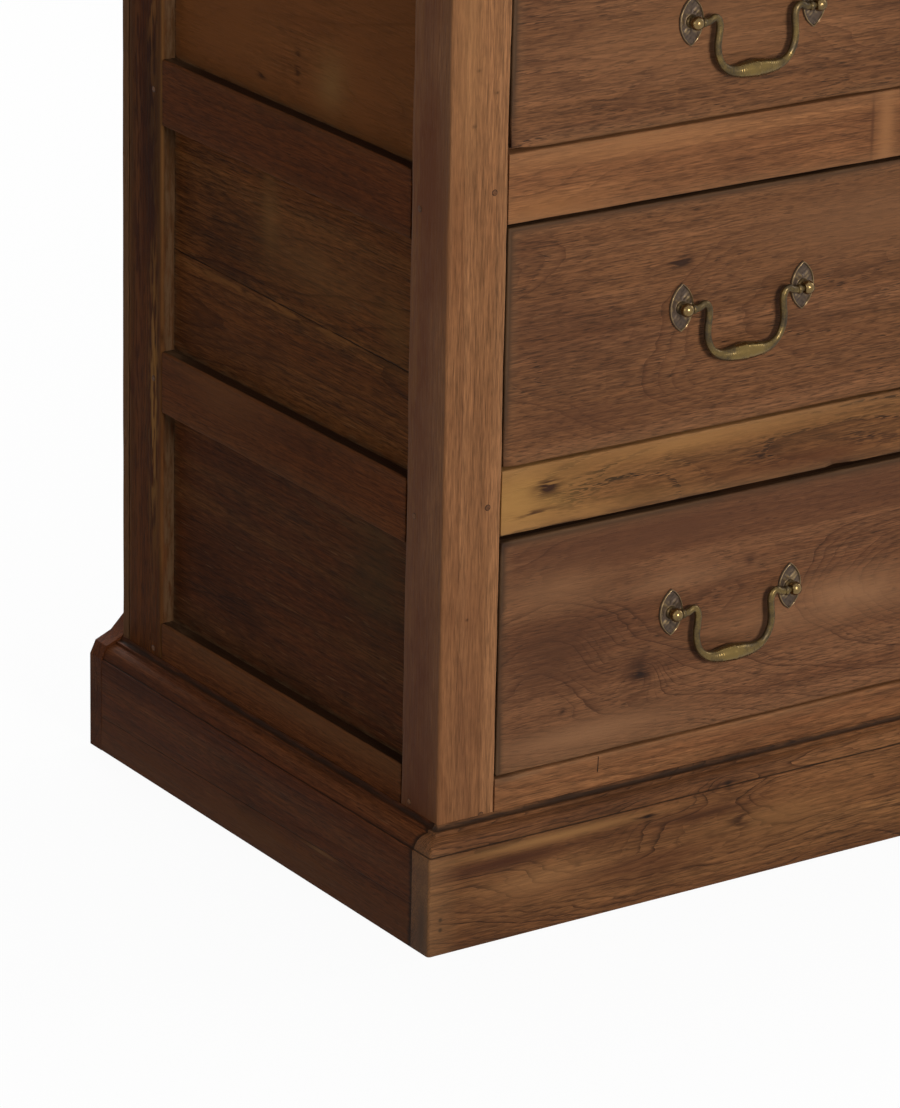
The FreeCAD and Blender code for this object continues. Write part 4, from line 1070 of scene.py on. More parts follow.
        return {
            "top": Timber(RAIL_WOOD, Grain.ALONG_X, (0.0, -0.2, 0.76), (0.05, 0.02), (0.01, 0.02), 21.0),
            "upper": Timber(RAIL_WOOD, Grain.ALONG_X, (-0.25, -0.2, 0.57), (0.06, -0.03), (0.02, 0.045), 22.5,
                            stains=upper),
            "lower": Timber(YELLOW_WOOD, Grain.ALONG_X, (-0.3, -0.2, 0.333), (0.03, -0.012), (0.03, 0.06),
                            23.9, (Knot((-0.40, FRONT, 0.318), (0.05, 0.03, 0.02), 2.2),), lower),
            "bottom": Timber(RAIL_WOOD, Grain.ALONG_X, (-0.3, -0.2, 0.10), (0.05, 0.02), (0.01, 0.03), 24.3,
                             stains=bottom, cracks=(split,)),
        }

    def front_rails(self) -> None:
        """Four rails along the front, each cut off at the posts' faces."""
        inner = float(node_box("post_front_left")[1][0])
        nicks = {"lower": dents((-0.226, FRONT, 0.3084, 4.0, 2.2), (-0.218, FRONT, 0.3084, 2.5, 1.4))}
        for number, (name, timber) in enumerate(self.rail_timbers().items()):
            node = "front_rail_" + name
            low, high = node_box(node)
            low[0], high[0] = inner, -inner
            surface = worn_board(low, high, (self.shoulder, self.rail_arris, self.rail_arris), 31 + number,
                                 chips=nicks.get(name, ()))
            make_piece(node, surface, timber.material(node))

    def side_rails(self) -> None:
        """Eight rails of the side frames, each cut off at the posts' faces, with grime and painted shade on
        its ledge and at its ends.
        """
        front, rear = side_opening()
        marks = {"bottom": (-0.02, 0.118, 0.2, 0.012, (124, 84, 52), 0.45),
                 "lower": (0.08, 0.335, 0.06, 0.02, (118, 74, 44), 0.5)}
        for number, (side, name) in enumerate(product(SIDES, ("top", "upper", "lower", "bottom"))):
            node = f"side_rail_{side}_{name}"
            low, high = node_box(node)
            low[1], high[1] = front, rear
            outer = SIDES[side]
            rows = [marks[name]] if name in marks else []
            timber = Timber(SIDE_WOOD, Grain.ALONG_Y, middle_of(low, high), (0.05 * outer, 0.02),
                            (0.01, 0.02), 41.0 + 1.7 * number,
                            stains=on_face(Stain, 0, outer * 0.5825, 0.01, *rows))
            surface = worn_board(low, high, (self.rail_arris, self.shoulder, self.rail_arris), 51 + number)
            points = surface.points
            close = np.minimum(points[:, 1] - front, rear - points[:, 1])
            inward = abs(outer_face(low, high, outer)) - np.abs(points[:, 0])
            # Painted shade with grime: dark on the ledge under the recessed panel and next to the posts; dust
            # towards the rear
            ledge = hill(float(high[2]) - points[:, 2], 1.2 * MM) * smooth_step(inward, 0.8 * MM, 3.0 * MM)
            surface.marks["grime"] = np.clip(0.5 * hill(close, 2.0 * MM) + 1.1 * ledge, 0.0, 1.2)
            surface.marks["dust"] = 0.8 * ledge * hill(rear - points[:, 1], 30.0 * MM)
            make_piece(node, surface, timber.material(node))

    def panel_marks(self, name: str,
                    face: float) -> tuple[tuple[Knot, ...], tuple[Stain, ...], tuple[Crack, ...]]:
        """Knots, stains and cracks of one of the three side panels, with its outer face at a place."""
        knots: tuple[Knot, ...] = ()
        cracks: tuple[Crack, ...] = ()
        if name == "bottom":
            knots = (Knot((face, 0.07, 0.24), (0.02, 0.05, 0.03), 3.0),)
            stains = on_face(
                Stain, 0, face, 0.01,
                (0.07, 0.24, 0.03, 0.04, (40, 24, 14), 0.5),
                (-0.1, 0.285, 0.09, 0.006, (112, 76, 46), 0.5, True),
                (-0.12, 0.26, 0.04, 0.06, (70, 58, 36), 0.5))
        elif name == "middle":
            cracks = (Crack((face, 0.18, 0.429), (face, -0.18, 0.4215), 0.5 * MM, 0.8 * MM),)
            stains = on_face(
                Stain, 0, face, 0.01,
                (-0.05, 0.475, 0.08, 0.03, (126, 88, 52), 0.55),
                (0.02, 0.4215, 0.15, 0.0035, (150, 98, 52), 0.7, True),
                (0.03, 0.50, 0.012, 0.035, (138, 98, 56), 0.45),
                (-0.14, 0.45, 0.02, 0.03, (130, 92, 52), 0.5),
                (-0.128, 0.421, 0.02, 0.003, (24, 14, 8), 0.9),
                (0.0, 0.38, 0.2, 0.03, (84, 48, 26), 0.5))
        else:
            knots = on_face(
                Knot, 0, face, 0.02,
                (-0.11, 0.615, 0.07, 0.018, 4.0), (0.14, 0.66, 0.03, 0.05, 3.0))
            stains = on_face(Stain, 0, face, 0.02, (0.02, 0.65, 0.6, 0.3, (134, 82, 44), 0.75))
            stains += on_face(
                Stain, 0, face, 0.01,
                (-0.05, 0.612, 0.02, 0.022, (146, 106, 62), 0.7),
                (-0.006, 0.614, 0.004, 0.013, (40, 22, 12), 0.9, True),
                (0.043, 0.595, 0.006, 0.003, (36, 20, 11), 0.9, True))
        return knots, stains, cracks

    def side_panels(self) -> None:
        """Six plain panels, with dust, and with grime and painted shade, where they enter their grooves."""
        front, rear = side_opening()
        rail_names, panel_names = ("bottom", "lower", "upper", "top"), ("bottom", "middle", "top")
        for number, (side, name) in enumerate(product(SIDES, reversed(panel_names))):
            node = f"side_panel_{side}_{name}"
            low, high = node_box(node)
            outer = SIDES[side]
            finish = LOW_PANEL_WOOD if name == "bottom" else PANEL_WOOD
            timber = Timber(finish, Grain.ALONG_Y, middle_of(low, high), (0.07 * outer, -0.04), (0.02, 0.05),
                            61.0 + 2.3 * number, *self.panel_marks(name, outer_face(low, high, outer)))
            surface = worn_board(low, high, (self.panel_arris,) * 3, 71 + number, step=0.005, sway=0.25 * MM)
            level = panel_names.index(name)
            rail_below, rail_above = (node_box(f"side_rail_{side}_{rail}")
                                      for rail in rail_names[level:level + 2])
            points = surface.points
            below, above = points[:, 2] - rail_below[1][2], rail_above[0][2] - points[:, 2]
            ends = np.minimum(points[:, 1] - front, rear - points[:, 1])
            nearest = np.minimum(np.minimum(below, above), ends)
            # Painted shade with grime: darker within a few millimetres of the rails and the posts, round the
            # panel's recess
            surface.marks["grime"] = 0.8 * hill(np.maximum(nearest, 0.0), 2.2 * MM)
            surface.marks["dust"] = 0.8 * hill(np.maximum(np.minimum(below, ends), 0.0), 3.5 * MM)
            surface.marks["wear"] = np.zeros(len(points))
            make_piece(node, surface, timber.material(node))

    def back_boards(self) -> None:
        """Upright boards side by side, back_count of them across the model's back boards."""
        node = "back_boards"
        low, high = node_box(node)
        width = (high[0] - low[0] - (self.back_count - 1) * self.back_gap) / self.back_count
        boards = []
        for number in range(self.back_count):
            left = low[0] + number * (width + self.back_gap)
            start, end = np.array([left, *low[1:]]), np.array([left + width, *high[1:]])
            boards.append(worn_board(start, end, (0.9 * MM, 0.9 * MM, 0.5 * MM), 91 + number, step=0.02))
        timber = Timber(BACK_WOOD, Grain.ALONG_Z, middle_of(low, high), (0.3, 0.08), (0.02, 0.01), 85.0)
        make_piece(node, joined(boards), timber.material(node))

    def top_board(self) -> None:
        """Solid top board with a rounded edge."""
        node = "top_board"
        low, high = node_box(node)
        surface = worn_board(low, high, (self.nosing,) * 3, 99, step=0.014, uneven=0.2)
        timber = Timber(TOP_WOOD, Grain.ALONG_X, middle_of(low, high), (0.05, -0.12), (0.02, 0.01), 87.0)
        make_piece(node, surface, timber.material(node))

    def hidden_pieces(self) -> None:
        """Finishes for the pieces inside, which keep the model's own shape."""
        dress({"rear_rail_top": Grain.ALONG_X, "rear_rail_bottom": Grain.ALONG_X,
               "drawer_runners": Grain.ALONG_Y, "drawer_stops": Grain.ALONG_X},
              (0.04, 0.05), (0.01, 0.02), 101.0, 1.0)


@dataclass
class Pegs:
    """Round pegs through the joints, standing a hair proud with domed ends.

    Attributes:
        radius: Radius of a peg.
        proud: Height of the dome.
        length: Length inside the post.
        sides: Segments round a peg.
        cell: Width of the squares in which the model's pegs are looked for.
        widest: Largest width of what counts as one peg.
        apart: Least distance between two pegs.
    """

    radius: float = 2.4 * MM
    proud: float = 0.3 * MM
    length: float = 33.0 * MM
    sides: int = 20
    cell: float = 8.0 * MM
    widest: float = 6.0 * MM
    apart: float = 2.0 * MM

    def build(self) -> None:
        """Build the pegs where the model has them, by the round ends of its separate solids."""
        node = "rail_pegs"
        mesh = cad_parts[node].data
        points = np.zeros(len(mesh.vertices) * 3, np.float32)
        mesh.vertices.foreach_get("co", points)
        points = points.reshape(-1, 3).astype(float)
        shapes = []
        for axis, way in ((1, -1.0), (1, 1.0), (0, -1.0), (0, 1.0)):
            face = float((points[:, axis] * way).max()) * way
            others = [k for k in range(3) if k != axis]
            flat = points[np.abs(points[:, axis] - face) < 1e-5][:, others]
            shapes += [self.peg(axis, face, way, centre) for centre in self.centres(flat)]
        timber = Timber(PEG_WOOD, Grain.ALONG_Y, (0.0, 0.0, 0.4), (0.01, 0.01), (0.0, 0.0), 111.0)
        make_piece(node, joined(shapes), timber.material(node), ending="_domed")

    def centres(self, flat: np.ndarray) -> list[np.ndarray]:
        """Middles of the pegs whose ends lie in one face.

        Args:
            flat: Points in the face, two numbers each.

        Returns:
            One middle per peg.
        """
        found: list[np.ndarray] = []
        for cell in np.unique(np.round(flat / self.cell).astype(int), axis=0):
            chosen = flat[(np.abs(flat - cell * self.cell) < self.cell + 1.0 * MM).all(axis=1)]
            centre = (chosen.min(axis=0) + chosen.max(axis=0)) / 2.0
            alone = all(np.linalg.norm(centre - other) > self.apart for other in found)
            if np.ptp(chosen, axis=0).max() < self.widest and alone:
                found.append(centre)
        return found

    def peg(self, axis: int, face: float, way: float, centre: np.ndarray) -> Surface:
        """One peg: a round bar with a dome of height proud*cos over its visible end.

        Args:
            axis: Axis that the peg lies along.
            face: Place of the post's face on it.
            way: Way out along it, -1 or 1.
            centre: Middle of the peg in the face.

        Returns:
            Closed surface with the mark grime, which is 1 round the visible end.
        """
        angles = np.linspace(math.pi / 2, 0.0, 5)[:-1]
        radii = np.concatenate([[self.radius * 0.9, self.radius], self.radius * np.sin(angles)])
        depth = np.concatenate([[-self.length - 1.0 * MM, -self.length], self.proud * np.cos(angles)])
        surface = swept(turned(radii, depth, self.sides))
        points = surface.points
        local = np.zeros_like(points)
        local[:, axis] = face + way * points[:, 1]
        others = [k for k in range(3) if k != axis]
        local[:, others] = centre + points[:, [0, 2]]
        grime = np.clip(np.hypot(points[:, 0], points[:, 2]) / self.radius, 0.0, 1.0) ** 4
        return Surface(local, surface.faces, {"grime": grime}).outward()


def arc(x: float, z: float, radius: float, angles: np.ndarray) -> np.ndarray:
    """Points on a circle round a middle, at the given angles."""
    return np.stack([x + radius * np.cos(angles), z + radius * np.sin(angles)], axis=1)


def cut_corners(outline: np.ndarray, arris: float) -> np.ndarray:
    """Replace each sharp corner of a closed outline by three points of a short curve.

    The curve runs from an arris length before the corner b to one after it, through
    a/4 + b/2 + c/4, with a and c its ends; it takes at most 0.4 of a neighbouring stretch.
    """
    before, after = np.roll(outline, 1, axis=0) - outline, np.roll(outline, -1, axis=0) - outline
    long_before, long_after = (np.linalg.norm(way, axis=1, keepdims=True) for way in (before, after))
    cosine = (before * after).sum(axis=1, keepdims=True) / (long_before * long_after)
    sharp = (cosine > -0.85).reshape(-1)
    cut = np.minimum(arris, 0.4 * np.minimum(long_before, long_after))
    near, far = outline + before / long_before * cut, outline + after / long_after * cut
    triple = np.stack([near, 0.25 * near + 0.5 * outline + 0.25 * far, far], axis=1)
    triple[~sharp, 1] = outline[~sharp]
    kept = np.repeat(sharp[:, None], 3, axis=1)
    kept[:, 1] = True
    return triple[kept]


@dataclass
class Skirting:
    """Base boards: the front one returns its moulding round both ends.

    Attributes:
        height: Height of the front and side boards.
        thickness: Thickness of the front and side boards.
        flat: Flat on top.
        cove: Radius of the hollow.
        step_width: Width of the small step.
        step_drop: Drop of the small step.
        round: Radius of the rounded member.
        round_end: Angle in degrees at which it ends.
        quirk: Depth of the quirk under it.
        face_top: Upper edge of the plain face.
        lip: How far the front board reaches round the corner post.
        corner: Wear of the outer corner.
        arris: Softening of the moulding's edges.
        sole: Height under which the boards aren't worn.
    """

    height: float = 94.0 * MM
    thickness: float = 20.0 * MM
    flat: float = 1.0 * MM
    cove: float = 3.5 * MM
    step_width: float = 2.0 * MM
    step_drop: float = 2.5 * MM
    round: float = 12.5 * MM
    round_end: float = 16.26
    quirk: float = 1.5 * MM
    face_top: float = 77.5 * MM
    lip: float = 3.0 * MM
    corner: float = 2.4 * MM
    arris: float = 0.7 * MM
    sole: float = 4.0 * MM

    @cached_property
    def moulding(self) -> tuple[np.ndarray, np.ndarray]:
        """Outline of a board's section, outward and up.

        Flat, hollow quarter arc, small step, rounded member, quirk and face, then the sole and the
        back.

        Returns:
            The outline, and its grime with painted shade, which is 1 in the hollow and in the quirk.
        """
        hollow = np.linspace(math.pi, 1.5 * math.pi, 7)
        cove_x = self.flat + self.cove
        cove = arc(cove_x, self.height, self.cove, hollow)
        round_x, step_z = cove_x + self.step_width, self.height - self.cove
        round_z = step_z - self.step_drop - self.round
        turn = np.linspace(math.pi / 2, math.radians(self.round_end), 11)
        member = arc(round_x, round_z, self.round, turn)
        face = [[self.thickness, z] for z in (self.face_top, 60.0 * MM, 40.0 * MM, 20.0 * MM, 0.0)]
        back = [[0.0, 0.0], [0.0, 45.0 * MM]]
        quirk_x = self.thickness - self.quirk
        rounded = cut_corners(np.concatenate([
            [[0.0, self.height]], cove, [[round_x, step_z]], member, [[quirk_x, self.face_top]], face, back,
        ]), self.arris)
        # Painted shade with grime: dark in the hollow next to the carcass and in the quirk under the rounded
        # member
        hidden = hill(rounded[:, 0] - 3.0 * MM, 3.0 * MM) * (rounded[:, 1] > step_z - self.step_drop)
        inset = 0.1 * MM
        pocket = np.hypot(rounded[:, 0] - quirk_x + inset, rounded[:, 1] - self.face_top + inset)
        return rounded, np.clip(0.85 * hidden + 1.1 * hill(pocket, 1.0 * MM), 0.0, 1.0)

    def build(self) -> None:
        """Build the four boards."""
        self.front()
        for side in SIDES:
            self.side(side)
        self.back()

    def worn(self, surface: Surface, seed: int) -> Surface:
        """Sink the faces a little by smooth random heights, straight back and sideways."""
        points = surface.points
        sink = np.maximum(0.37 + waves(points, seed, (0.25, 0.12), (0.12, 0.03)), 0.0) * MM
        lean = np.sign(points) * np.array([1.0, 1.0, 0.0]) * (points[:, 2:] > self.sole)
        return Surface(points - 0.5 * sink[:, None] * lean, surface.faces, surface.marks)

    def front(self) -> None:
        """Front board, swept from its left end round both corners to its right end.

        Plan of a point at distance u from the carcass: left end (-w-u, y), corner (-w-u, -u) with an
        arc of the corner's wear, front (x, -u), and the same mirrored.
        """
        node = "skirting_front"
        corner = node_box("post_front_left")[0]
        half, face = float(-corner[0]), float(corner[1])
        outline, crease_grime_and_shade = self.moulding
        out, up = outline.T
        round_off = np.minimum(self.corner, out)
        left, near = -half - out, face - out
        plan = [(left, np.full_like(out, face + self.lip)), (left, near + round_off)]
        for angle in np.linspace(math.pi, 1.5 * math.pi, 7)[1:]:
            plan.append((left + round_off * (1.0 + math.cos(angle)),
                         near + round_off * (1.0 + math.sin(angle))))
        turned_in = len(plan)
        plan += [(np.full_like(out, x), near) for x in np.linspace(-half, half, 150)[1:-1]]
        row = np.array([np.stack([x, y, up], axis=1) for x, y in plan])
        row = np.concatenate([row, row[:turned_in][::-1] * np.array([-1.0, 1.0, 1.0])])
        surface = self.worn(swept(row, {"grime": crease_grime_and_shade}), 121)
        across, forward = np.abs(surface.points[:, 0]) - half, face - surface.points[:, 1]
        away = self.thickness - np.maximum(across, forward)
        outer = np.minimum(across, forward) > 14.0 * MM
        surface.marks["wear"] = np.where(outer, hill(away, 3.0 * MM), 0.0)
        make_piece(node, surface, self.front_timber().material(node), ending="_moulded")

    def front_timber(self) -> Timber:
        """How the front board is cut, with its knots, stains and the nails at its left end."""
        knots = on_face(
            Knot, 1, SKIRTING_FACE, 0.03,
            (-0.407, 0.0685, 0.03, 0.016, 2.0, 0.0035), (-0.356, 0.05, 0.07, 0.03, 8.0),
            (-0.331, 0.0789, 0.03, 0.012, 3.0, 0.003), (-0.2, 0.02, 0.09, 0.03, 5.0),
            (-0.52, 0.05, 0.08, 0.02, 4.0))
        stains = on_face(
            Stain, 1, SKIRTING_FACE, 0.03,
            (-0.53, 0.062, 0.06, 0.005, (66, 36, 21), 0.8),
            (-0.42, 0.03, 0.12, 0.01, (78, 44, 26), 0.5),
            (-0.49, 0.072, 0.09, 0.004, (150, 108, 66), 0.6),
            (-0.28, 0.045, 0.07, 0.012, (140, 98, 60), 0.5))
        stains += on_face(
            Stain, 1, SKIRTING_FACE, 0.02,
            (-0.407, 0.069, 0.012, 0.004, (40, 22, 13), 1.0, True),
            (-0.331, 0.079, 0.016, 0.0025, (40, 22, 13), 1.0, True),
            (-0.320, 0.048, 0.012, 0.010, (48, 27, 16), 0.9, True),
            (-0.47, 0.045, 0.004, 0.012, (52, 30, 18), 0.8, True))
        stains += (Stain((-0.5, SKIRTING_FACE, 0.04), (0.05, 0.03, 0.012), (150, 106, 68), 0.5),
                   Stain((-0.356, SKIRTING_FACE, 0.06), (0.05, 0.02, 0.004), (66, 38, 22), 0.7),
                   Stain((-0.6025, -0.235, 0.02), (0.02, 0.006, 0.03), (44, 24, 14), 0.8))
        stains += on_face(
            Stain, 1, SKIRTING_FACE, 0.01,
            *((-0.592, z, 0.0015, 0.0015, (20, 12, 8), 1.2) for z in (0.028, 0.020)))
        return Timber(SKIRTING_WOOD, Grain.ALONG_X, (-0.3, -0.234, 0.045), (0.055, 0.0), (0.02, 0.06), 131.0,
                      knots, stains)

    def side(self, side: str) -> None:
        """Left or right side board, swept straight back from the lip of the front board."""
        node, outer = "skirting_" + side, SIDES[side]
        low, high = node_box(node)
        half = abs(float(node_box("post_front_left")[0][0]))
        outline, crease_grime_and_shade = self.moulding
        out, up = outline.T
        row = np.array([np.stack([outer * (half + out), np.full_like(out, y), up], axis=1)
                        for y in np.linspace(low[1] + 0.2 * MM, high[1], 60)])
        surface = self.worn(swept(row, {"grime": crease_grime_and_shade}), 125)
        joint = hill(surface.points[:, 1] - low[1], 1.5 * MM)
        surface.marks["grime"] = np.maximum(surface.marks["grime"], joint)
        face = outer * 0.6025
        stains = (Stain((face, 0.0, 0.012), (0.02, 0.4, 0.016), (112, 72, 44), 0.6),
                  Stain((face, -0.1, 0.031), (0.01, 0.02, 0.0015), (150, 110, 70), 0.6),
                  Stain((face, 0.15, 0.075), (0.02, 0.08, 0.01), (52, 28, 18), 0.6))
        crack = Crack((face, 0.226, 0.029), (face, -0.221, 0.0345), 0.35 * MM, 0.5 * MM, 0.75)
        timber = Timber(SIDE_SKIRTING_WOOD, Grain.ALONG_Y, middle_of(low, high), (0.05 * outer, -0.02),
                        (0.02, 0.02), 135.0 + outer, stains=stains, cracks=(crack,))
        make_piece(node, surface, timber.material(node), ending="_moulded")

    def back(self) -> None:
        """Back board: its outline follows the side mouldings and rises behind the carcass."""
        node = "skirting_back"
        low, high = node_box(node)
        half = abs(float(node_box("post_front_left")[0][0]))
        right = np.array([[half + self.thickness, 0.0], [half + self.thickness, self.face_top],
                          [half + 0.015, 0.088], [half + self.flat, self.height], [half - 0.015, 0.110]])
        outline = np.concatenate([right, right[::-1] * np.array([-1.0, 1.0])])
        inset = 0.8 * MM
        upper = outline[:, 1:] > 0.05
        shrunk = outline * np.array([1.0 - inset / 0.6, 1.0]) - np.array([0.0, inset]) * upper
        rows = ((low[1], outline), (high[1] - inset, outline), (high[1], shrunk))
        stations = np.array([np.insert(shape, 1, y, axis=1) for y, shape in rows])
        timber = Timber(SIDE_SKIRTING_WOOD, Grain.ALONG_X, middle_of(low, high), (0.05, -0.02), (0.01, 0.02),
                        139.0)
        make_piece(node, swept(stations), timber.material(node), crease=25.0)


@dataclass
class Drawer:
    """One long drawer: its front gets worn arrises and real dovetail pins, its box a finish.

    Attributes:
        number: Number of the drawer, counted from the top.
        timber: How the front is cut.
        chips: Dents in the front's arrises.
        arris: Rounding of the front's face.
        lap: Wood in front of the dovetail sockets.
        tails: Number of dovetails at a front corner.
        tail: Width of a tail at its end.
        slope: Dovetail slope, length to one of width.
        play: How far the parts behind the slab stay inside its edges.
        overlap: How far they reach into the slab.
    """

    number: int
    timber: Timber
    chips: tuple[Chip, ...] = ()
    arris: float = 2.0 * MM
    lap: float = 8.0 * MM
    tails: int = 4
    tail: float = 24.0 * MM
    slope: float = 6.0
    play: float = 0.4 * MM
    overlap: float = 2.0 * MM

    def build(self) -> None:
        """Build the front and dress the box."""
        self.front()
        self.box_pieces()

    def front(self) -> None:
        """Front slab with rounded arrises, block between the sockets, and the pins of the dovetails."""
        prefix = f"drawer_{self.number}_"
        node = prefix + "front"
        low, high = node_box(node)
        side_low, side_high = node_box(prefix + "side_left")
        thickness = float(side_high[0] - side_low[0])
        slab_back = low[1] + self.lap
        slab = worn_board(low, np.array([high[0], slab_back, high[2]]), (self.arris,) * 3,
                          140 + 7 * self.number, sway=0.3 * MM, chips=self.chips)
        block_low = np.array([low[0] + thickness, slab_back - self.overlap, low[2] + self.play])
        block_high = np.array([high[0] - thickness, high[1], high[2] - self.play])
        parts = [slab, worn_board(block_low, block_high, (0.2 * MM, 0.8 * MM, 0.8 * MM), 150, step=0.02)]
        spans = ((low[0] + 0.1 * MM, block_low[0] + 0.5 * MM), (block_high[0] - 0.5 * MM, high[0] - 0.1 * MM))
        pitch = float(side_high[2] - side_low[2]) / self.tails
        wide = self.tail / 2.0
        narrow = wide - float(high[1] - slab_back) / self.slope
        centres = side_low[2] + pitch * (np.arange(self.tails) + 0.5)
        bottoms = np.concatenate([[low[2] + self.play], centres])
        tops = np.concatenate([centres, [high[2] - self.play]])
        for index, (bottom, top) in enumerate(zip(bottoms, tops)):
            under, over = index > 0, index < self.tails
            near = (bottom + under * wide, top - over * wide)
            far = (bottom + under * narrow, top - over * narrow)
            if near[1] - near[0] >= 0.5 * MM:
                parts += [pin(span, (slab_back - self.overlap, high[1]), near, far) for span in spans]
        surface = joined(parts)
        surface.marks.setdefault("grime", np.zeros(len(surface.points)))
        # The front's stains get the painted shadows of the gaps round it
        timber = replace(self.timber, stains=self.timber.stains + self.painted_gap_shadows(low, high))
        make_piece(node, surface, timber.material(node), f"drawer_{self.number}")

    def painted_gap_shadows(self, low: np.ndarray, high: np.ndarray) -> tuple[Stain, ...]:
        """Painted shadow of the gaps round the front: dark edges at both ends and along the top."""
        reach, face = 4.2 * MM, float(low[1])
        ends = on_face(Stain, 1, face, 0.02, *((float(x), float(low[2] + high[2]) / 2.0, reach, 4.0,
                                                (34, 20, 12), 1.2) for x in (low[0], high[0])))
        return ends + on_face(Stain, 1, face, 0.02, (0.0, float(high[2]), 8.0, reach, (42, 25, 15), 1.2))

    def box_pieces(self) -> None:
        """Sides, back and bottom keep the model's shape and get plain timber."""
        grains = {"side_left": Grain.ALONG_Y, "side_right": Grain.ALONG_Y,
                  "back": Grain.ALONG_X, "bottom": Grain.ALONG_X}
        dress({f"drawer_{self.number}_{name}": grain for name, grain in grains.items()},
              (0.05, 0.06), (0.015, 0.02), 160.0 + 9.0 * self.number, 2.0)


def pin(across: Pair, depth: Pair, near: Pair, far: Pair) -> Surface:
    """Pin between two tails: a block whose height grows with depth.

    Args:
        across: Both ends along X.
        depth: Near and far end along Y.
        near: Lowest and highest level at the near end.
        far: Lowest and highest level at the far end.

    Returns:
        Closed surface.
    """
    outline = np.array([[depth[0], near[0]], [depth[1], far[0]], [depth[1], far[1]], [depth[0], near[1]]])
    return swept(np.array([np.insert(outline, 0, x, axis=1) for x in across]))


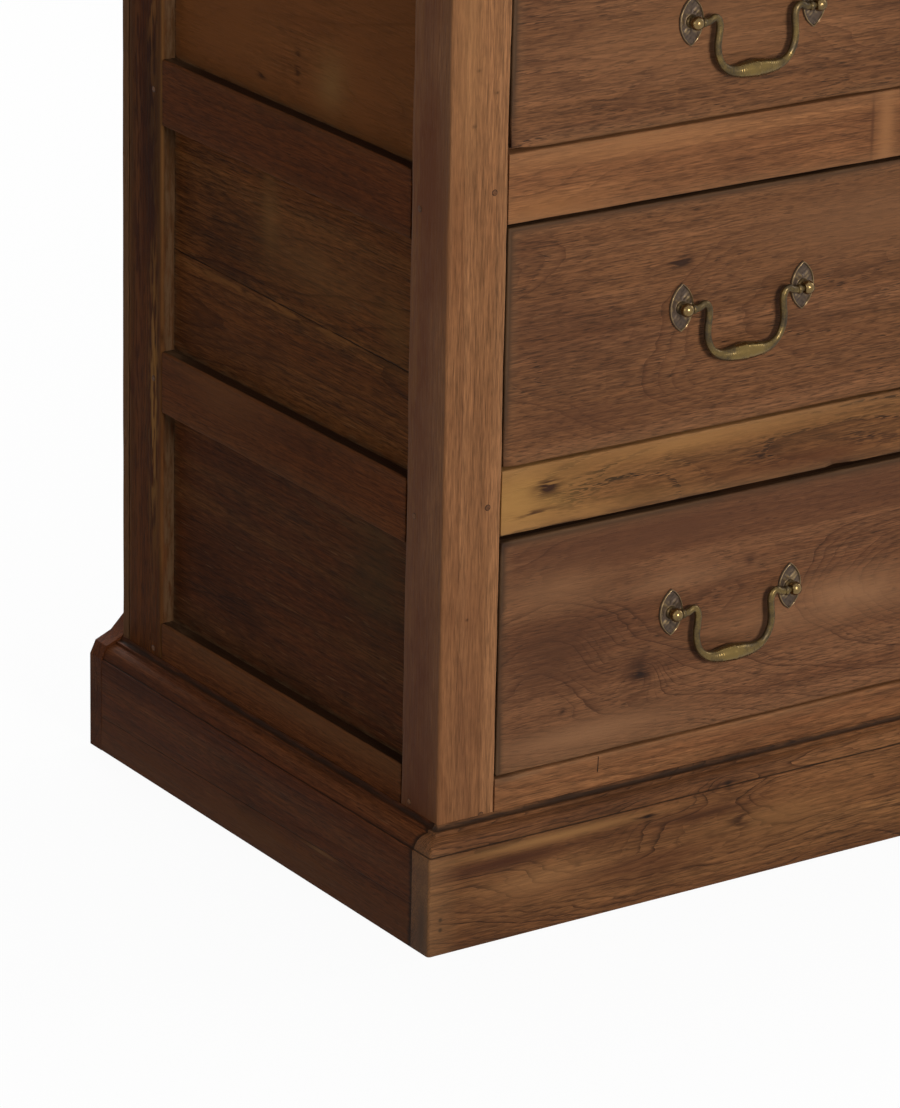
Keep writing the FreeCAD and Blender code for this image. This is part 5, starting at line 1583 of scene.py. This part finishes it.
@dataclass
class HandleSet:
    """Backplates, pierced posts and swan-neck bails of one drawer.

    Attributes:
        number: Number of the drawer.
        spacing: Distance between the two posts of a handle.
        standoff: Drawer face to turning axis.
        plate_height: Half height of a backplate.
        plate_width: Half width of a backplate.
        plate_rise: Thickness of a backplate at its rim.
        rim: Width of the bright rim.
        ball: Radius of the round head.
        flat: Middle of the head to its flat inner side.
        neck: Radius of the neck behind the head.
        stem: Radius of the stem.
        collar: Radius of the collar on the plate.
        arm: Middle of a bail to its arms.
        drop: Turning axis to the grip.
        rod: Radius of the bail's rod.
        grip: Largest radius of the grip.
        grip_half: Half length of the swelling.
        pin_radius: Radius of the pin that turns in the head.
        pin_long: Length of the pin.
        collar_long: Length of the bail's collar.
    """

    number: int
    spacing: float = 110.0 * MM
    standoff: float = 8.0 * MM
    plate_height: float = 18.5 * MM
    plate_width: float = 10.5 * MM
    plate_rise: float = 2.2 * MM
    rim: float = 1.4 * MM
    ball: float = 5.3 * MM
    flat: float = 4.0 * MM
    neck: float = 4.6 * MM
    stem: float = 2.4 * MM
    collar: float = 5.2 * MM
    arm: float = 34.0 * MM
    drop: float = 40.0 * MM
    rod: float = 2.8 * MM
    grip: float = 6.6 * MM
    grip_half: float = 34.0 * MM
    pin_radius: float = 2.0 * MM
    pin_long: float = 7.0 * MM
    collar_long: float = 3.0 * MM

    def build(self, bail: bpy.types.Material, head: bpy.types.Material, plate: bpy.types.Material) -> None:
        """Build the metal of one drawer.

        Args:
            bail: Finish of the bails.
            head: Finish of the posts.
            plate: Finish of the backplates.
        """
        body = f"drawer_{self.number}"
        low, high = node_box(body + "_backplates")
        face, level = float(high[1]), float(low[2] + high[2]) / 2.0
        for side in SIDES:
            node = f"{body}_bail_{side}"
            self.bail(node, middle_of(*node_box(node))[0], face - self.standoff, level, bail)
        outer = float(high[0]) - self.plate_width
        spots = [(x, inner) for sign in (-1.0, 1.0)
                 for x, inner in ((sign * outer, -sign), (sign * (outer - self.spacing), sign))]
        plates = [self.plate(x, face, level, index) for index, (x, _) in enumerate(spots)]
        make_piece(body + "_backplates", joined(plates), plate, body, "_relief", 40.0)
        posts = [self.post(x, face, level, inner) for x, inner in spots]
        make_piece(body + "_handle_posts", joined(posts), head, body, "_turned", 38.0)

    def plate(self, x: float, face: float, level: float, seed: int) -> Surface:
        """Pointed oval backplate with a rounded rim, a sunk field and a leaf in relief.

        A point is share*(outline at angle t); the outline is two arcs x = R*cos t - (R - a),
        z = R*sin t. Its height is the rim where (1 - share)*distance is under the rim width, else the
        field, plus a ring round the post, six petals |sin(3*angle)|^0.7*exp(-((r - 8.2)/2.6)^2), ribs
        cos((0.9*|x| + h - |z|)*k) towards the tips, and a smooth random height.

        Args:
            x: Middle of the plate along the drawer.
            face: Drawer face.
            level: Level of the turning axis.
            seed: Number that fixes the random draw.

        Returns:
            Closed surface with the marks polish and grime.
        """
        a, h = self.plate_width, self.plate_height
        radius = (h * h + a * a) / (2.0 * a)
        reach = math.asin(h / radius)
        turn = np.linspace(-reach, reach, 29)[:-1]
        right = arc(a - radius, 0.0, radius, turn)
        border = np.concatenate([right, -right])
        shares = np.concatenate([np.linspace(0.12, 0.82, 15), np.linspace(0.85, 1.0, 8)])
        px, pz = np.moveaxis(shares[:, None, None] * border, -1, 0)
        gap = (1.0 - shares)[:, None] * np.linalg.norm(border, axis=1)
        crown = np.sin(np.clip(gap / self.rim, 0.0, 1.0) * math.pi) ** 0.7
        rim = smooth_step(-gap, -self.rim * 1.15, -self.rim * 0.75)
        distance = np.hypot(px, pz)
        ring = hill(distance - self.neck, 1.0 * MM)
        petals = np.abs(np.sin(3.0 * np.arctan2(px, pz))) ** 0.7 * hill(distance - 8.2 * MM, 2.6 * MM)
        ribs = np.cos((np.abs(px) * 0.9 + (h - np.abs(pz))) * 2.0 * math.pi / (4.2 * MM))
        ribs *= smooth_step(distance, 5.4 * MM, 7.0 * MM)
        places = np.stack([px, pz, np.full_like(px, seed * 3.0 * MM)], axis=-1).reshape(-1, 3)
        rough = wobble(places, 310 + seed, 3.2 * MM).reshape(px.shape)
        field_height = (0.85 + 0.25 * ribs + 0.6 * petals + 0.7 * ring + 0.22 * rough) * MM
        top = field_height * (1.0 - rim) + (1.35 + 0.85 * crown) * MM * rim
        rings = np.stack([px, -top, pz], axis=-1)
        edge = rings[-1] * np.array([1.0, 0.0, 1.0]) - np.array([0.0, 0.1 * MM, 0.0])
        back = edge * np.array([0.97, 0.0, 0.97])
        surface = swept(np.concatenate([rings, edge[None], back[None]]))
        under = np.zeros(2 * len(border))
        raised = smooth_step(top, 1.1 * MM, 1.6 * MM) * 0.75
        polish = np.concatenate([np.maximum(rim * crown, raised).reshape(-1), under, [0.0, 0.0]])
        hollow = np.clip(1.0 - (top - 0.6 * MM) / (0.45 * MM), 0.0, 1.0) * (1.0 - rim)
        grime = np.concatenate([hollow.reshape(-1) * 0.8, under, [0.8, 0.0]])
        points = surface.points + np.array([x, face, level])
        jitter = 0.05 * MM * wobble(points, 170 + seed, 4.0 * MM)
        points[:, 1] -= np.where(points[:, 1] < face - 0.3 * MM, jitter, 0.0)
        return Surface(points, surface.faces, {"polish": polish, "grime": grime}).outward()

    def post(self, x: float, face: float, level: float, inner: float) -> Surface:
        """Handle post: ball, neck, collar on the plate, stem through the front and square nut.

        The outline is turned round Y; the ball's inner side is then held at its flat.

        Args:
            x: Middle of the post along the drawer.
            face: Drawer face.
            level: Level of the turning axis.
            inner: Way to the other post of the handle, -1 or 1.

        Returns:
            Closed surfaces of the post and its nut, with the mark polish.
        """
        plate = -self.plate_rise
        sweep = np.linspace(0.03, math.pi - math.asin(self.neck / self.ball), 18)
        outline = np.stack([self.ball * np.sin(sweep), -self.standoff - self.ball * np.cos(sweep)], axis=1)
        outline = np.concatenate([outline, [
            [self.neck * 0.92, plate - 2.2 * MM], [self.neck * 0.96, plate - 1.4 * MM],
            [self.neck * 1.08, plate - 0.7 * MM], [self.collar, plate - 0.2 * MM],
            [self.collar, plate + 1.2 * MM], [self.stem, plate + 1.2 * MM], [self.stem, 27.6 * MM],
            [self.stem - 0.6 * MM, 28.0 * MM]]])
        surface = swept(turned(outline[:, 0], outline[:, 1], 40))
        points = surface.points
        ball_part = points[:, 1] < plate - 2.6 * MM
        limited = np.minimum(points[:, 0] * inner, self.flat) * inner
        points[:, 0] = np.where(ball_part, limited, points[:, 0])
        half, near, far = 5.0 * MM, 22.0 * MM, 26.0 * MM
        nut = worn_board(np.array([-half, near, -half]), np.array([half, far, half]), (0.5 * MM,) * 3, 180,
                         step=0.003, sway=0.0)
        nut.marks = {"polish": np.full(len(nut.points), 0.2)}
        made = Surface(points, surface.faces, {"polish": np.where(ball_part, 0.8, 0.2)}).outward()
        whole = joined([made, nut])
        whole.points += np.array([x, face, level])
        return whole

    def bail_line(self) -> np.ndarray:
        """Middle line of half a bail, in X and Z from the turning axis.

        A smooth curve passes through the points below: on the span between b and c, with
        neighbours a and d and t from 0 to 1, the place is
        0.5*(2b + (c - a)t + (2a - 5b + 4c - d)t^2 + (3b - 3c + d - a)t^3).
        """
        arm, low, end = self.arm / MM, -self.drop / MM, self.spacing / 2.0 / MM
        corners = np.array([
            [-8.0, low], [0.0, low + 0.2], [8.0, low], [17.0, low + 0.1], [24.5, low + 2.0],
            [30.5, low + 7.0], [arm, low + 14.5], [arm + 0.8, low + 22.0], [arm, low + 30.0],
            [arm - 0.3, low + 36.0], [arm + 1.2, low + 40.6], [arm + 4.6, 2.4], [arm + 8.2, 0.7],
            [arm + 11.5, 0.0], [arm + 15.0, 0.0], [end + 1.5, 0.0], [end + 6.0, 0.0],
        ]) * MM
        share = np.linspace(0.0, 1.0, 12, endpoint=False)[None, :, None]
        a, b, c, d = (corners[k:len(corners) - 3 + k][:, None, :] for k in range(4))
        spans = 0.5 * (2.0 * b + (c - a) * share + (2.0 * a - 5.0 * b + 4.0 * c - d) * share ** 2
                       + (3.0 * b - 3.0 * c + d - a) * share ** 3)
        return np.concatenate([spans.reshape(-1, 2), corners[-2:-1]])

    def bail_radius(self, px: np.ndarray, pz: np.ndarray, from_end: np.ndarray, swelling: np.ndarray,
                    tiny: float) -> np.ndarray:
        """Radius along a bail.

        It swells to the grip as rod + (grip - rod)*swelling, with fine turned rings at both ends of the
        grip and a bead in its middle, and steps to the collar and the pin near the ends.

        Args:
            px: Places along X.
            pz: Places along Z.
            from_end: Distance from the nearer end.
            swelling: 1 in the middle of the grip, 0 outside it.
            tiny: Length of the bevel at the end.

        Returns:
            One radius per place.
        """
        radius = self.rod + (self.grip - self.rod) * swelling
        on_grip = pz < -self.drop + 4.0 * MM
        rings = hill(np.abs(px) - 15.0 * MM, 4.0 * MM) * np.cos(px * 2.0 * math.pi / (1.9 * MM))
        radius += (0.16 * rings + 0.25 * hill(px, 1.1 * MM)) * MM * on_grip
        on_collar = (from_end > self.pin_long) & (from_end < self.pin_long + self.collar_long)
        across = np.clip((from_end - self.pin_long) / self.collar_long, 0.0, 1.0)
        radius = np.where(on_collar, (3.0 + 0.8 * np.sin(across * math.pi) ** 0.5) * MM, radius)
        radius = np.where(from_end <= self.pin_long, self.pin_radius, radius)
        return np.where(from_end <= tiny, self.pin_radius - 0.4 * MM, radius)

    def bail(self, node: str, x: float, y: float, z: float, material: bpy.types.Material) -> None:
        """Bail: a round section carried along the mirrored middle line.

        Args:
            node: Node that it stands for, and its body.
            x: Middle of the bail.
            y: Depth of the turning axis.
            z: Level of the turning axis.
            material: Its finish.
        """
        half = self.bail_line()
        line = np.concatenate([half[::-1] * np.array([-1.0, 1.0]), half[1:]])
        gone = np.concatenate([[0.0], np.cumsum(np.linalg.norm(np.diff(line, axis=0), axis=1))])
        total, tiny = float(gone[-1]), 0.05 * MM
        collar_end = self.pin_long + self.collar_long
        steps = [0.0, tiny * 4, self.pin_long - tiny, self.pin_long + tiny, self.pin_long + 0.6 * MM,
                 collar_end - 0.6 * MM, collar_end - tiny, collar_end + tiny]
        clear = collar_end + 0.5 * MM
        away = np.unique(np.concatenate([steps, np.linspace(clear, total - clear, 260),
                                         [total - step for step in steps]]))
        even, kernel = np.linspace(0, total, 1200), np.ones(9) / 9.0
        px, pz = (np.interp(away, gone, line[:, k]) for k in (0, 1))
        slopes = (np.pad(np.gradient(np.interp(even, gone, line[:, k])), 4, mode="edge") for k in (0, 1))
        dx, dz = (np.interp(away, even, np.convolve(slope, kernel, mode="valid")) for slope in slopes)
        norm = np.hypot(dx, dz)
        swelling = 1.0 - smooth_step(np.abs(away - total / 2.0) / self.grip_half, 0.0, 1.0)
        radius = self.bail_radius(px, pz, np.minimum(away, total - away), swelling, tiny)
        angles = np.linspace(0.0, 2.0 * math.pi, 28, endpoint=False)
        aside, deep = radius[:, None] * np.cos(angles), radius[:, None] * np.sin(angles)
        stations = np.stack([px[:, None] - aside * (dz / norm)[:, None], deep,
                             pz[:, None] + aside * (dx / norm)[:, None]], axis=-1)
        surface = swept(stations)
        rubbed = (0.5 + 0.5 * swelling)[:, None] * np.clip(0.5 - 0.5 * np.sin(angles), 0, 1)
        polish = np.concatenate([rubbed.reshape(-1), [0.0, 0.0]])
        made = Surface(surface.points + np.array([x, y, z]), surface.faces, {"polish": polish}).outward()
        make_piece(node, made, material, node, "_swan_neck", 50.0)


@dataclass
class Studio:
    """Floor, background, lamps and camera.

    Attributes:
        turn: Camera's azimuth in radians.
        rise: Camera's elevation in radians.
        roll: Camera's roll in radians.
        distance: Distance from the point it looks at.
        target: Point that it looks at.
        focal: Focal length in pixels of the 1108 pixel high picture.
        picture_height: Height of the picture in pixels.
        sensor: Height of the sensor in millimetres.
        ambient: Strength of the light from all sides.
        floor_reach: Half width of the floor.
    """

    turn: float = -0.597140
    rise: float = 0.352310
    roll: float = 0.020330
    distance: float = 4.013667
    target: Point = (-0.576480, -0.224, 0.304019)
    focal: float = 5590.5066
    picture_height: float = 1108.0
    sensor: float = 36.0
    ambient: float = 0.1
    floor_reach: float = 14.0

    def build(self) -> None:
        """Set up everything that isn't the object."""
        bpy.context.scene.view_settings.view_transform = "Standard"
        self.camera()
        self.lamps()
        self.world()
        self.floor()

    def camera(self) -> None:
        """Camera at the photograph's viewing angle."""
        az, el, roll = self.turn, self.rise, self.roll
        back = Vector((math.sin(az) * math.cos(el), -math.cos(az) * math.cos(el), math.sin(el)))
        right = Vector((math.cos(az), math.sin(az), 0.0))
        up = back.cross(right)
        across = math.cos(roll) * right + math.sin(roll) * up
        above = -math.sin(roll) * right + math.cos(roll) * up
        data = bpy.data.cameras.new("camera")
        data.sensor_fit = "VERTICAL"
        data.sensor_height = self.sensor
        data.lens = self.focal / self.picture_height * self.sensor
        data.clip_end = 60.0
        camera = bpy.data.objects.new("camera", data)
        place = Vector(self.target) + back * self.distance
        rows = [(*row, 0.0) for row in (across, above, back)] + [(*place, 1.0)]
        camera.matrix_world = Matrix(rows).transposed()
        bpy.context.scene.collection.objects.link(camera)
        bpy.context.scene.camera = camera

    def lamps(self) -> None:
        """Soft square lamps: a low key before the front, weaker ones at the sides, above and behind."""
        warm, neutral = (1.0, 0.98, 0.95), (1.0, 1.0, 1.0)
        rows = (("key", (-0.7, -3.2, 1.35), (-0.4, -0.2, 0.45), 0.9, 77.0, warm),
                ("left_fill", (-3.2, -0.7, 1.3), (-0.5, 0.0, 0.4), 1.4, 9.0, warm),
                ("top_fill", (0.3, 0.4, 3.3), (0.0, 0.0, 0.8), 1.6, 42.0, neutral),
                ("right_fill", (3.2, -0.2, 2.2), (0.4, 0.0, 0.4), 1.6, 44.0, neutral),
                ("rear_fill", (0.4, 3.4, 2.4), (0.0, 0.2, 0.4), 1.8, 64.0, neutral))
        for name, place, aim, width, power, colour in rows:
            data = bpy.data.lights.new(name, "AREA")
            data.size, data.energy, data.color = width, power, colour
            lamp = bpy.data.objects.new(name, data)
            lamp.location = place
            lamp.rotation_euler = (Vector(aim) - Vector(place)).to_track_quat("-Z", "Y").to_euler()
            bpy.context.scene.collection.objects.link(lamp)

    def seen(self, made: Recipe) -> Wire:
        """One for camera, glossy and transmission rays, else zero."""
        path = made.node("ShaderNodeLightPath")
        camera, glossy, through = (Wire(made, path.outputs[f"Is {kind} Ray"])
                                   for kind in ("Camera", "Glossy", "Transmission"))
        return made.number("MAXIMUM", made.number("MAXIMUM", camera, glossy), through)

    def world(self) -> None:
        """White background for camera, glossy and transmission rays; weak grey light for the rest."""
        world = bpy.data.worlds.new("studio")
        made = Recipe(world, "ShaderNodeOutputWorld")
        light, white = (made.shader("ShaderNodeBackground", {"Color": WHITE, "Strength": strength})
                        for strength in (self.ambient, 1.0))
        made.close(made.shader("ShaderNodeMixShader", {0: self.seen(made), 1: light, 2: white}))
        bpy.context.scene.world = world

    def floor(self) -> None:
        """Plain pale floor that keeps a weak shadow of the object."""
        mesh = bpy.data.meshes.new("floor")
        corners = [(x * self.floor_reach, y * self.floor_reach, 0.0)
                   for x, y in ((-1, -1), (1, -1), (1, 1), (-1, 1))]
        mesh.from_pydata(corners, [], [(0, 1, 2, 3)])
        floor = bpy.data.objects.new("floor", mesh)
        made = Recipe.named("floor")
        seen = self.seen(made)
        shade = made.node("ShaderNodeMapRange")
        made.feed(shade, {"Value": seen, "To Min": 0.3, "To Max": 0.8})
        paint = made.shader("ShaderNodeBsdfDiffuse", {"Color": Wire(made, shade.outputs["Result"])})
        glow = made.shader("ShaderNodeEmission", {"Color": WHITE, "Strength": 1.0})
        made.close(made.shader("ShaderNodeMixShader", {0: seen * 0.95, 1: paint, 2: glow}))
        mesh.materials.append(made.owner)
        bpy.context.scene.collection.objects.link(floor)


def drawer_timbers() -> dict[int, Timber]:
    """How the three drawer fronts are cut, with the figure and marks of each."""
    stains = {
        1: ((-0.36, 0.66, 0.12, 0.03, (130, 90, 60), 0.5),),
        2: ((-0.378, 0.4917, 0.011, 0.004, (44, 25, 14), 1.8, True),
            (-0.46, 0.385, 0.07, 0.012, (80, 48, 30), 0.6),
            (-0.2, 0.5, 0.12, 0.03, (124, 86, 58), 0.5)),
        3: ((-0.3, 0.285, 0.24, 0.02, (88, 55, 36), 0.8),
            (-0.22, 0.20, 0.10, 0.02, (150, 108, 76), 0.8),
            (-0.36, 0.245, 0.05, 0.012, (142, 102, 72), 0.5),
            (-0.45, 0.138, 0.09, 0.012, (138, 98, 68), 0.7),
            (-0.485, 0.255, 0.05, 0.016, (136, 96, 66), 0.6),
            (-0.402, 0.177, 0.013, 0.013, (62, 37, 23), 1.1, True),
            (-0.304, 0.247, 0.005, 0.0035, (56, 34, 22), 1.0),
            (-0.49, 0.203, 0.05, 0.035, (74, 45, 28), 0.85)),
    }
    middle_knots = on_face(
        Knot, 1, DRAWER_FACE, 0.05,
        (-0.455, 0.472, 0.10, 0.05, 8.0), (-0.3, 0.40, 0.15, 0.04, -5.0))
    low_knots = on_face(
        Knot, 1, DRAWER_FACE, 0.05,
        (-0.325, 0.225, 0.11, 0.045, 11.0), (-0.48, 0.205, 0.06, 0.04, 9.0))
    low_knots += on_face(
        Knot, 1, DRAWER_FACE, 0.03,
        (-0.402, 0.177, 0.024, 0.018, 6.0, 0.0058),
        (-0.472, 0.160, 0.008, 0.005, 1.0, 0.0024))
    cuts = ((DRAWER_WOOD, 0.66, (0.09, -0.05), (0.02, 0.07), 201.0, ()),
            (DRAWER_WOOD, 0.45, (0.07, 0.01), (0.04, 0.1), 207.0, middle_knots),
            (SWIRL_WOOD, 0.2, (0.06, 0.02), (0.05, 0.12), 213.0, low_knots))
    return {number: Timber(wood, Grain.ALONG_X, (-0.25, -0.211, level), pith, tilt, seed, knots,
                           on_face(Stain, 1, DRAWER_FACE, 0.02, *stains[number]))
            for number, (wood, level, pith, tilt, seed, knots) in enumerate(cuts, start=1)}


def main() -> None:
    """Build the sub-assemblies in order."""
    logging.basicConfig(level=logging.INFO, format="%(name)s: %(message)s")
    Studio().build()
    Carcass().build()
    Pegs().build()
    Skirting().build()
    corner_chips = {1: (0.5962, 14.0, 2.5), 2: (0.3594, 5.0, 1.5), 3: (0.3034, 5.0, 1.2)}
    bail, head, plate = BAIL_BRASS.material(), HEAD_BRASS.material(), PLATE_BRASS.material()
    for number, timber in drawer_timbers().items():
        Drawer(number, timber, dents((-0.5305, DRAWER_FACE, *corner_chips[number]))).build()
        HandleSet(number).build(bail, head, plate)


if __name__ == "__main__":
    main()
